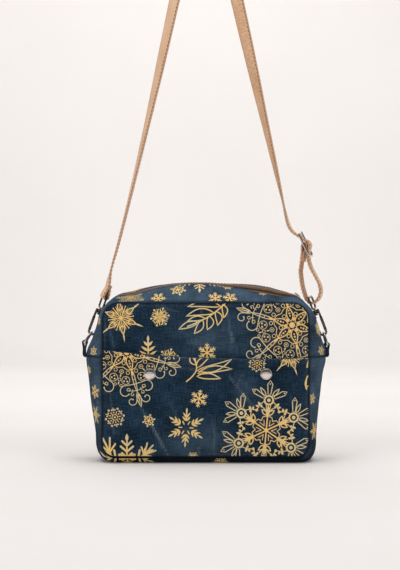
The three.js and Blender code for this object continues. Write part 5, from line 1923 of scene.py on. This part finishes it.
@dataclass
class SideHardware:
    """Ring tab, D-ring, snap hook, lever and swivel eye of one side."""

    place: HookPlace
    eye_turn: float
    ring_out: float
    ring_up: float
    ring_half: float = 10.0
    ring_wire: float = 1.15
    ring_corner: float = 2.2
    hook_wire: float = 1.2
    hook_half: float = 3.45
    rib_pitch: float = 1.9
    rib_radius: float = 1.55
    hook_bend: float = -25.0
    barrel_radius: float = 3.0
    barrel_bore: float = 1.35
    barrel_height: float = 4.5
    lever_pivot: tuple[float, float] = (-2.6, -8.0)
    lever_end: float = -21.3
    lever_thick: float = 2.2
    eye_wire: float = 1.1
    eye_half: float = 9.1
    eye_foot: float = 2.4
    eye_rise: float = 4.4
    eye_low: float = 1.6
    eye_high: float = 15.0
    eye_corner: float = 3.0
    tab_layer: float = 1.35
    tab_width: float = 15.0
    tab_foot: float = 111.6
    tab_inside: float = 123.5
    grain: float = 0.2

    def __post_init__(self) -> None:
        """Notes the side that the hook is on."""
        self.side = self.place.side

    def build(self) -> None:
        """Makes and dresses the side's pieces."""
        word = self.side.word
        make_piece(f"hook_cast_{word}", fused("hook", self.hook(), self.grain), DARK_METAL, [f"hook_{word}"])
        lever_body = Body[f"LEVER_{self.side.name}"]
        lever = fused("lever", self.lever(), 0.16, 4)
        make_piece(f"lever_bar_{word}", lever, DARK_METAL, [f"hook_lever_{word}"], lever_body)
        make_piece(f"eye_loop_{word}", fused("eye", self.eye(), self.grain), DARK_METAL, [f"hook_eye_{word}"])
        make_piece(f"ring_wire_{word}", self.ring(), BRIGHT_METAL, [f"d_ring_{word}"])
        self.tab()

    def hook(self) -> list[Shape]:
        """Ribbed spine, barrel, cheeks and pivot pin, to be melted into one casting."""
        half = self.hook_half
        shank = np.array([[half - 0.3, -0.8], [half - 0.1, -5], [half, -9], [half, -16]])
        bend = arc((0, self.hook_bend), half, np.linspace(0, -math.pi, 24))
        tip = np.array([[-half, self.lever_end - GAP - 0.95 * self.hook_wire]])
        flat = np.concatenate([shank, bend, tip])
        line = stacked(flat[:, 0], np.zeros(len(flat)), flat[:, 1])
        spine = [wire(line, self.hook_wire, DEPTH)]
        for up in np.arange(-9.5, self.hook_bend + 0.5, -self.rib_pitch):
            rib = np.array([[half, 0, up - share * self.rib_pitch] for share in (0, 0.2, 0.4)])
            spine.append(wire(rib, self.rib_radius, DEPTH))
        outer, bore, tall = self.barrel_radius, self.barrel_bore, self.barrel_height
        profile = [(bore, -tall), (outer - 0.4, -tall), (outer, 0.4 - tall), (outer - 0.25, -tall / 2)]
        profile += [(outer, -0.4), (outer - 0.4, 0), (bore, 0)]
        barrel = lathe(profile, 40, hollow=True)
        gap = self.lever_thick / 2 + GAP + 0.45
        cheeks = [moved(rounded_box((2.5, 0.9, 6.2), 0.4), (-2.65, hand * gap, -6.3)) for hand in (-1, 1)]
        pivot_out, pivot_up = self.lever_pivot
        pin_line = np.array([[pivot_out, y, pivot_up] for y in np.linspace(-gap - 0.5, gap + 0.5, 5)])
        pin = wire(pin_line, 0.55, UP)
        return [self.place.set(part) for part in (*spine, barrel, *cheeks, pin)]

    def lever(self) -> list[Shape]:
        """Pierced boss and sprung bar that closes the hook's mouth."""
        pivot_out, pivot_up = self.lever_pivot
        half_thick = self.lever_thick / 2
        profile = [(0.85, -half_thick), (1.35, -half_thick), (1.6, 0.25 - half_thick)]
        profile += [(1.6, half_thick - 0.25), (1.35, half_thick), (0.85, half_thick)]
        boss = moved(lathe(profile, 32, hollow=True), (pivot_out, 0, pivot_up), FACING_FRONT)
        top, foot = np.array([-2.85, 0, pivot_up - 1.2]), np.array([-self.hook_half, 0, self.lever_end])
        way = unit(foot - top)
        axes = np.stack([np.cross(DEPTH, way), DEPTH, way])
        length = float(np.linalg.norm(foot - top))
        bar = moved(rounded_box((1.9, self.lever_thick, length), 0.45), (top + foot) / 2, axes)
        return [self.place.set(part) for part in (boss, bar)]

    def eye_across(self) -> Array:
        """Direction along the eye's upper bar, turned with the strap."""
        up = self.place.up_way
        turn = math.radians(self.eye_turn)
        return math.cos(turn) * -DEPTH + math.sin(turn) * np.cross(up, -DEPTH)

    def eye(self) -> list[Shape]:
        """Swivel loop with its post and head, to be melted into one casting."""
        across, up, origin = self.eye_across(), self.place.up_way, self.place.origin
        reach, low, high, corner = self.eye_half, self.eye_low, self.eye_high, self.eye_corner
        right = np.concatenate([
            bent((self.eye_foot, low), (reach, low), (reach, low + self.eye_rise)),
            bent((reach, high - corner), (reach, high), (reach - corner, high)),
        ])
        flat = np.concatenate([right, right[::-1] * (-1, 1)])
        line = origin + flat[:, :1] * across + flat[:, 1:] * up
        loop = wire(line, self.eye_wire, np.cross(across, up), True)
        head_top = -self.barrel_height - GAP
        post_line = origin + np.linspace(self.eye_low, head_top - 0.5, 8)[:, None] * up
        post = wire(post_line, 1.0, across)
        profile = [(0.6, -1.1), (1.45, -1.1), (1.7, -0.85), (1.7, -0.25), (1.45, 0), (0.6, 0)]
        head = moved(lathe(profile, 32), origin + head_top * up, self.place.axes)
        return [loop, post, head]

    def ring(self) -> Shape:
        """D-ring with a straight bar in the tab and a round bow in the hook."""
        hand = self.side.value
        bar = np.array([hand * self.ring_out, 0, self.ring_up])
        rise = np.array([hand * self.place.out, 0, self.place.up]) - bar
        height = float(np.linalg.norm(rise))
        rise = unit(rise)
        reach, corner = self.ring_half, self.ring_corner
        low = arc((reach - corner, corner), corner, np.linspace(-math.pi / 2, 0, 7))
        bow = arc((0, corner), (reach, height - corner), np.linspace(0, math.pi, 36)[1:-1])
        flat = np.concatenate([low, bow, low[::-1] * (-1, 1)])
        line = bar + flat[:, :1] * DEPTH + flat[:, 1:] * rise
        return wire(line, self.ring_wire, np.cross(DEPTH, rise), True)

    def tab(self) -> None:
        """Folded canvas loop that passes out of the side seam and round the ring's bar."""
        layer, ring = self.tab_layer, self.ring_wire + GAP + self.tab_layer / 2
        wrap = arc((self.ring_out, self.ring_up), ring, np.linspace(-0.35, math.pi + 0.12, 22))
        low, high = self.tab_foot - 0.8, self.tab_foot + 0.8
        inside, out, top = self.tab_inside, self.ring_out, self.ring_up - 5.6
        start = ((inside, low), (out - 2.5, low), (out + 0.2, low + 0.3), (out + 1.2, 112.4))
        finish = ((out - 0.4, 113.9), (out - 1.2, 112.8), (out - 2.8, high), (inside, high))
        flat = np.concatenate([start, [(out + 1.25, top)], wrap, [(out - 0.3, top)], finish])
        line = catmull(np.column_stack([flat, np.zeros(len(flat))]), 3)[:, :2]
        ahead = unit(np.gradient(line, axis=0))
        side_way = stacked(-ahead[:, 1], ahead[:, 0]) * layer / 2
        y = eased(-self.tab_width / 2, self.tab_width / 2, 14, 0.5)

        def leaf(edge: Array) -> Array:
            """Grid over one face of the strip."""
            return stacked(self.side.value * edge[:, :1], y, edge[:, 1:])

        reached = travelled(line)
        places = np.stack(np.meshgrid(reached, y, indexing="ij"), -1)
        rim = hump(self.tab_width / 2 - np.abs(places[..., 1]), 1.2)
        # Paler worn edges on the tab, darkened as well by painted shade through the seam mark.
        marks = {"wear": 0.3 * rim, "seam": 0.4 * rim}
        strip = shell(leaf(line + side_way), leaf(line - side_way), places, marks)
        piece = make_piece(f"canvas_tab_{self.side.word}", strip, CANVAS, [f"side_tab_{self.side.word}"])


# Strap


@dataclass
class Strap:
    """Leather shoulder strap with its stitching, buckle and prong."""

    left_eye: Array
    left_up: Array
    left_across: Array
    width: float = 15.0
    thick: float = 1.8
    rail: float = 8.0
    left_tail: float = 13.0
    right_tail: float = 18.0
    eye_wire: float = 1.1
    buckle_out: float = 107.5
    buckle_up: float = 230.4
    buckle_length: float = 13.2
    buckle_half: float = 9.6
    buckle_wire: float = 1.2
    buckle_corner: float = 3.0
    buckle_tilt: float = math.radians(26.6)
    prong_wire: float = 0.8
    prong_slot: float = 2.8
    prong_overhang: float = 1.4
    crown_advance: float = 3.2
    left_bow: float = 2.8
    bow_power: float = 0.7
    fold_foot: float = 3.6
    corner: float = 0.6
    stitch_inset: float = 1.3
    end_turn: float = -16.0
    turn_axis: float = 114.5
    left_rise: Route = ((-101.6, 203.0), (-98.2, 216.0))
    right_bend: Route = ((85.2, 266.0), (87.3, 257.5), (90.0, 250.2), (93.9, 244.6))
    twist: Table = Table(
        "up left right",
        (
            (188, 18, -16), (204, 5, -16), (225, 8, -16), (244, 9.5, -16), (262, 10.5, -10), (290, 12.5, 3),
            (310, 15, 10), (365, 24, 25), (430, 39, 46), (494, 49, 62), (580, 71, 77), (632, 90, 90),
        ),
    )
    loop_route: Route = (
        (112.4, 210), (115.2, 203.5), (119.4, 196), (123.4, 187.4), (124.4, 179.6), (121.2, 171.6),
        (114.5, 167.6), (109.6, 171.4), (107, 177.5), (104.2, 187.4), (102.3, 202),
    )

    def __post_init__(self) -> None:
        """Works out the buckle's own directions and the prong's ring."""
        tilt = self.buckle_tilt
        self.down = np.array([math.sin(tilt), 0, -math.cos(tilt)])
        self.out = np.array([math.cos(tilt), 0, math.sin(tilt)])
        self.middle = np.array([self.buckle_out, 0, self.buckle_up])
        self.prong_ring = self.buckle_wire + GAP + self.prong_wire

    def build(self) -> None:
        """Makes and dresses the strap, its stitches and the buckle."""
        self.strap()
        self.buckle()

    def at(self, down: float, out: float, across: float = 0.0) -> Array:
        """Point in the buckle's own directions."""
        return self.middle + down * self.down + out * self.out + across * DEPTH

    def drawn(self, route: Route) -> list[Array]:
        """Points in the plane through the middle."""
        return [np.array([x, 0, z]) for x, z in route]

    def turned(self, points: Array) -> Array:
        """Points turned from the plane through the middle to the loop's own plane."""
        angle = math.radians(self.end_turn)
        cos, sin = math.cos(angle), math.sin(angle)
        spin = np.array([[cos, sin, 0], [-sin, cos, 0], [0, 0, 1]])
        axis = np.array([self.turn_axis, 0, 0])
        return axis + (points - axis) @ spin

    def turned_shape(self, shape: Shape) -> Shape:
        """Shape turned in the same way."""
        return Shape(self.turned(shape.points), shape.faces)

    def wrapped(
        self, bar: Array, side: Array, away: Array, fold: float,
        before: Sequence[float], after: Sequence[float],
    ) -> Array:
        """Strap that comes along one side of a bar, folds round it and leaves along the other.

        Args:
            bar: Middle of the bar.
            side: Direction to the side that the strap comes along.
            away: Direction from the bar along the doubled stretch.
            fold: Radius of the fold.
            before: Distances from the bar at which it comes.
            after: Distances at which it leaves.

        Returns:
            Points along the strap.
        """
        layer, near = self.thick / 2 + GAP / 2, fold * 0.85
        turn = np.linspace(0, math.pi, 18)[:, None]
        start = [bar + layer * side + up * away for up in before]
        finish = [bar - layer * side + up * away for up in after]
        start.append(bar + near * side + self.fold_foot * away)
        finish.insert(0, bar - near * side + self.fold_foot * away)
        return np.array([*start, *(bar + fold * (np.cos(turn) * side - np.sin(turn) * away)), *finish])

    def left_end(self) -> Array:
        """Tail, fold round the left eye's bar and the start of the rise."""
        fold = self.eye_wire + 1.5 * GAP + self.thick / 2
        out = unit(np.cross(self.left_up, self.left_across))
        inward = out * (1 if out[0] > 0 else -1)
        tail = (self.left_tail, 9)
        return catmull(self.wrapped(self.left_eye, inward, self.left_up, fold, tail, tail[::-1]), 3)

    def right_end(self, loop_end: Array) -> Array:
        """Fold on the buckle's bar and the tail."""
        fold = self.buckle_wire + 1.2 * GAP + self.thick / 2
        rise = unit(self.middle - loop_end)
        inward = unit(np.cross(DEPTH, rise))
        return self.wrapped(self.middle, -inward, -rise, fold, (9,), (9, 14, self.right_tail))

    def stations(self) -> tuple[Array, Array]:
        """Middle line of the strap from the left tail to the right one.

        Returns:
            Points along the strap, and the direction across it at each.
        """
        half = self.thick / 2
        left = self.left_end()
        turn = np.linspace(-math.pi / 2, math.pi / 2, 40)
        radius = self.rail + half
        top = HANG_HEIGHT - self.rail
        advance = self.crown_advance * turn / (math.pi / 2)
        crown = stacked(advance, radius * np.sin(turn), top + radius * np.cos(turn))
        rise = np.array([left[-1], *self.drawn(self.left_rise)])
        under = self.buckle_wire + 1.5 * GAP + half
        over = self.buckle_wire + self.thick + 2.4 * GAP + half
        through = (
            (-self.buckle_length, -under - 0.2), (-6.6, 1.1), (-2.6, over - 0.25), (0, over + 0.15),
            (2.6, over - 0.25), (6.6, 1.1), (self.buckle_length, -under - 0.2),
        )
        weave = self.drawn(self.right_bend)
        weave += [self.at(down, out) for down, out in through]
        weave += self.drawn(self.loop_route)
        weaving = self.turned(catmull(np.array(weave), 6))
        right = self.turned(catmull(np.array([weave[-1], *self.right_end(weave[-1])]), 2))
        share = np.linspace(0, 1, 72)[1:, None]
        rising = rise[-1] + share * (crown[0] - rise[-1])
        rising[:, 0] += self.left_bow * np.sin(math.pi * share[:, 0] ** self.bow_power)
        falling = crown[-1] + share * (weaving[0] - crown[-1])
        parts = [left, catmull(rise, 8)[1:], rising, crown[1:], falling, weaving[1:], right[1:]]
        branch = np.concatenate([np.full(len(part), number) for number, part in enumerate(parts)])
        points = np.concatenate(parts)
        up = points[:, 2]
        degrees = np.where(branch < 3, self.twist.read("left", up), self.twist.read("right", up))
        angle = np.radians(np.where(branch == 6, self.end_turn, degrees))
        across = stacked(np.sin(angle), -np.cos(angle), np.zeros(len(angle)))
        across[branch == 0] = self.left_across
        keep = np.concatenate([[True], np.linalg.norm(np.diff(points, axis=0), axis=1) > 0.05])
        points, across = points[keep], across[keep]
        ahead = tangents(points)
        return points, unit(across - (across * ahead).sum(-1, keepdims=True) * ahead)

    def strap(self) -> None:
        """Strap with softly rounded edges, creased stitch lines and stitching."""
        points, across = self.stations()
        up = unit(np.cross(tangents(points), across))
        half, reach, corner = self.thick / 2, self.width / 2, self.corner
        flat = np.linspace(-1, 1, 17) * (reach - corner)
        crease = 0.16 * hump(flat - (reach - self.stitch_inset), 0.5)
        bend = np.linspace(-math.pi / 2, math.pi / 2, 7)[1:-1]
        rim = arc((reach - corner, 0), (corner, half), bend)
        section = np.concatenate([
            stacked(flat, crease - half), rim, stacked(flat, half - crease)[::-1], -rim,
        ])
        rings = points[:, None] + section[None, :, :1] * across[:, None] + section[None, :, 1:] * up[:, None]
        strap = loft(rings)
        reached = travelled(points)
        strap.places = stacked(reached[:, None], section[None, :, 0]).reshape(-1, 2)
        edge = np.where(np.abs(section[:, 0]) > reach - corner * 1.2, 1.0, 0.0)
        inside = np.where(section[:, 1] > 0, 1.0, 0.0)
        strap.marks = {"rim": np.tile(edge, len(points)), "inside": np.tile(inside, len(points))}
        piece = make_piece("strap_leather", strap, LEATHER, ["shoulder_strap"])
        slot = wire(
            np.array([self.at(0, 0, y) for y in np.linspace(-0.5, 0.5, 5) * self.prong_slot]),
            self.prong_ring + self.prong_wire + GAP / 2, UP, sides=24,
        )
        carve(piece, [self.turned_shape(tool) for tool in (slot, self.prong_arm(1.5 * GAP))])
        rows = []
        for face in (-1, 1):
            line = points + (reach - self.stitch_inset) * across + face * (half - 0.1) * up
            rows.append(STRAP_STITCH.row(line, face * up))
        make_piece("stitches_strap", joined(rows), STRAP_THREAD)
        LOG.info("strap length %.0f mm", reached[-1])

    def prong_arm(self, grow: float) -> Shape:
        """Straight part of the prong, or a hole for it when grown."""
        tip = -self.buckle_length - self.prong_overhang - grow
        line = np.array([self.at(down, self.prong_ring) for down in np.linspace(-0.4, tip, 9)])
        return wire(line, self.prong_wire + grow, DEPTH)

    def buckle(self) -> None:
        """Wire buckle with a centre bar, and its prong."""
        corner = self.buckle_corner
        inner = np.array([self.buckle_half - corner, self.buckle_length - corner])
        corners = []
        for quarter, hands in enumerate(((1, 1), (-1, 1), (-1, -1), (1, -1))):
            turn = np.linspace(0, math.pi / 2, 7) + quarter * math.pi / 2
            corners.append(arc(hands * inner, corner, turn))
        flat = np.concatenate(corners)
        line = self.middle + flat[:, :1] * DEPTH + flat[:, 1:] * self.down
        loop = wire(line, self.buckle_wire, self.out, True)
        bar_line = np.array([self.at(0, 0, y) for y in np.linspace(-1, 1, 9) * self.buckle_half])
        bar = wire(bar_line, self.buckle_wire, self.out)
        frame_parts = [self.turned_shape(part) for part in (loop, bar)]
        make_piece("buckle_frame", fused("buckle", frame_parts, 0.22), BRIGHT_METAL, ["strap_buckle"])
        turn = turns(28)[:, None]
        ring_line = self.middle + self.prong_ring * (np.sin(turn) * self.down + np.cos(turn) * self.out)
        ring = wire(ring_line, self.prong_wire, DEPTH, True)
        prong = fused("prong", [self.turned_shape(part) for part in (ring, self.prong_arm(0.0))], 0.16, 4)
        make_piece("buckle_prong_wire", prong, BRIGHT_METAL, ["buckle_prong"])


# Studio


@dataclass
class Studio:
    """Pale paper sweep, soft lights and the camera."""

    image: tuple[int, int] = (400, 570)
    distance: float = 1600.0
    front: float = 38.0
    scale: float = 1.05
    centre_x: float = -5.8
    centre_up: float = 187.4
    sweep_back: float = 2000.0
    sweep_radius: float = 500.0
    sweep_top: float = 3200.0
    sweep_half: float = 3000.0
    front_lip: Route = ((-2700.0, 640.0), (-2640.0, 220.0), (-2440.0, 0.0), (0.0, 0.0))

    def build(self) -> None:
        """Sets up paper, light and camera."""
        self.paper()
        self.lights()
        self.camera()

    def paper(self) -> None:
        """Floor that sweeps up into a backdrop."""
        back, radius = self.sweep_back, self.sweep_radius
        line = list(self.front_lip)
        for t in np.linspace(0, math.pi / 2, 16):
            line.append((back + radius * math.sin(t), radius * (1 - math.cos(t))))
        line.append((back + radius, self.sweep_top))
        ends = (-self.sweep_half, self.sweep_half)
        points = np.array([[across, y, z - HANG_HEIGHT] for y, z in line for across in ends]) * MM
        faces = [(2 * i, 2 * i + 1, 2 * i + 3, 2 * i + 2) for i in range(len(line) - 1)]
        mesh = bpy.data.meshes.new("paper_sweep")
        mesh.from_pydata(points.tolist(), [], faces)
        mesh.shade_smooth()
        mesh.materials.append(PAPER.material())
        linked("paper_sweep", mesh)

    def lights(self) -> None:
        """Large soft lights over, in front of and beside the bag, in a dim white room."""
        world = bpy.data.worlds.new("studio_room")
        world.use_nodes = True
        room = world.node_tree.nodes["Background"]
        room.inputs["Color"].default_value = (1.0, 0.994, 0.99, 1)
        room.inputs["Strength"].default_value = 0.1
        bpy.context.scene.world = world
        lamps = (
            ("overhead", (0.0, -0.25, 1.25), (0.0, 0.0, -0.5), 1.9, 23.0, False),
            ("front_left", (-1.5, -1.7, 0.35), (0.0, 0.0, -0.5), 1.5, 14.6, False),
            ("front_right", (1.6, -1.7, 0.25), (0.0, 0.0, -0.5), 1.5, 11.2, False),
            ("behind", (0.0, 0.5, 1.5), (0.0, 0.0, -0.5), 2.4, 13.0, True),
            ("backdrop", (0.0, 0.9, 1.8), (0.0, 2.5, 1.3), 2.4, 36.0, False),
        )
        for name, place, target, size, power, mirrored in lamps:
            lamp = bpy.data.lights.new(name, "AREA")
            lamp.size = size
            lamp.energy = power
            lamp.color = (1.0, 0.996, 0.992)
            stand = linked(name, lamp)
            stand.location = place
            stand.rotation_euler = (Vector(target) - stand.location).to_track_quat("-Z", "Y").to_euler()
            stand.visible_glossy = mirrored
            stand.visible_camera = False

    def camera(self) -> None:
        """Level camera in front of the bag."""
        lens = bpy.data.cameras.new("front_view")
        lens.sensor_fit = "VERTICAL"
        lens.sensor_height = 24.0
        lens.lens = lens.sensor_height * self.distance / self.scale / self.image[1]
        stand = linked("front_view", lens)
        place = (self.centre_x, -self.front - self.distance, self.centre_up - HANG_HEIGHT)
        stand.location = Vector(place) * MM
        stand.rotation_euler = (math.pi / 2, 0, 0)
        bpy.context.scene.camera = stand
        bpy.context.scene.view_settings.view_transform = "Standard"


def main() -> None:
    """Builds the bag piece by piece."""
    logging.basicConfig(level=logging.INFO, format="%(name)s %(message)s")
    bag = BagShape()
    Studio().build()
    CanvasBody(bag).build()
    GoldPrint(bag).build()
    Zipper(bag).build()
    PocketSnaps(bag).build()
    left_place = HookPlace(Side.LEFT, out=122.0, up=137.0, degrees=20.0)
    right_place = HookPlace(Side.RIGHT, out=126.7, up=136.3, degrees=20.7)
    left = SideHardware(left_place, eye_turn=18.0, ring_out=129.4, ring_up=125.8)
    right = SideHardware(right_place, eye_turn=-16.0, ring_out=130.5, ring_up=123.4)
    for hardware in (left, right):
        hardware.build()
    eye = left_place.origin + left.eye_high * left_place.up_way
    Strap(eye, left_place.up_way, left.eye_across()).build()


if __name__ == "__main__":
    main()
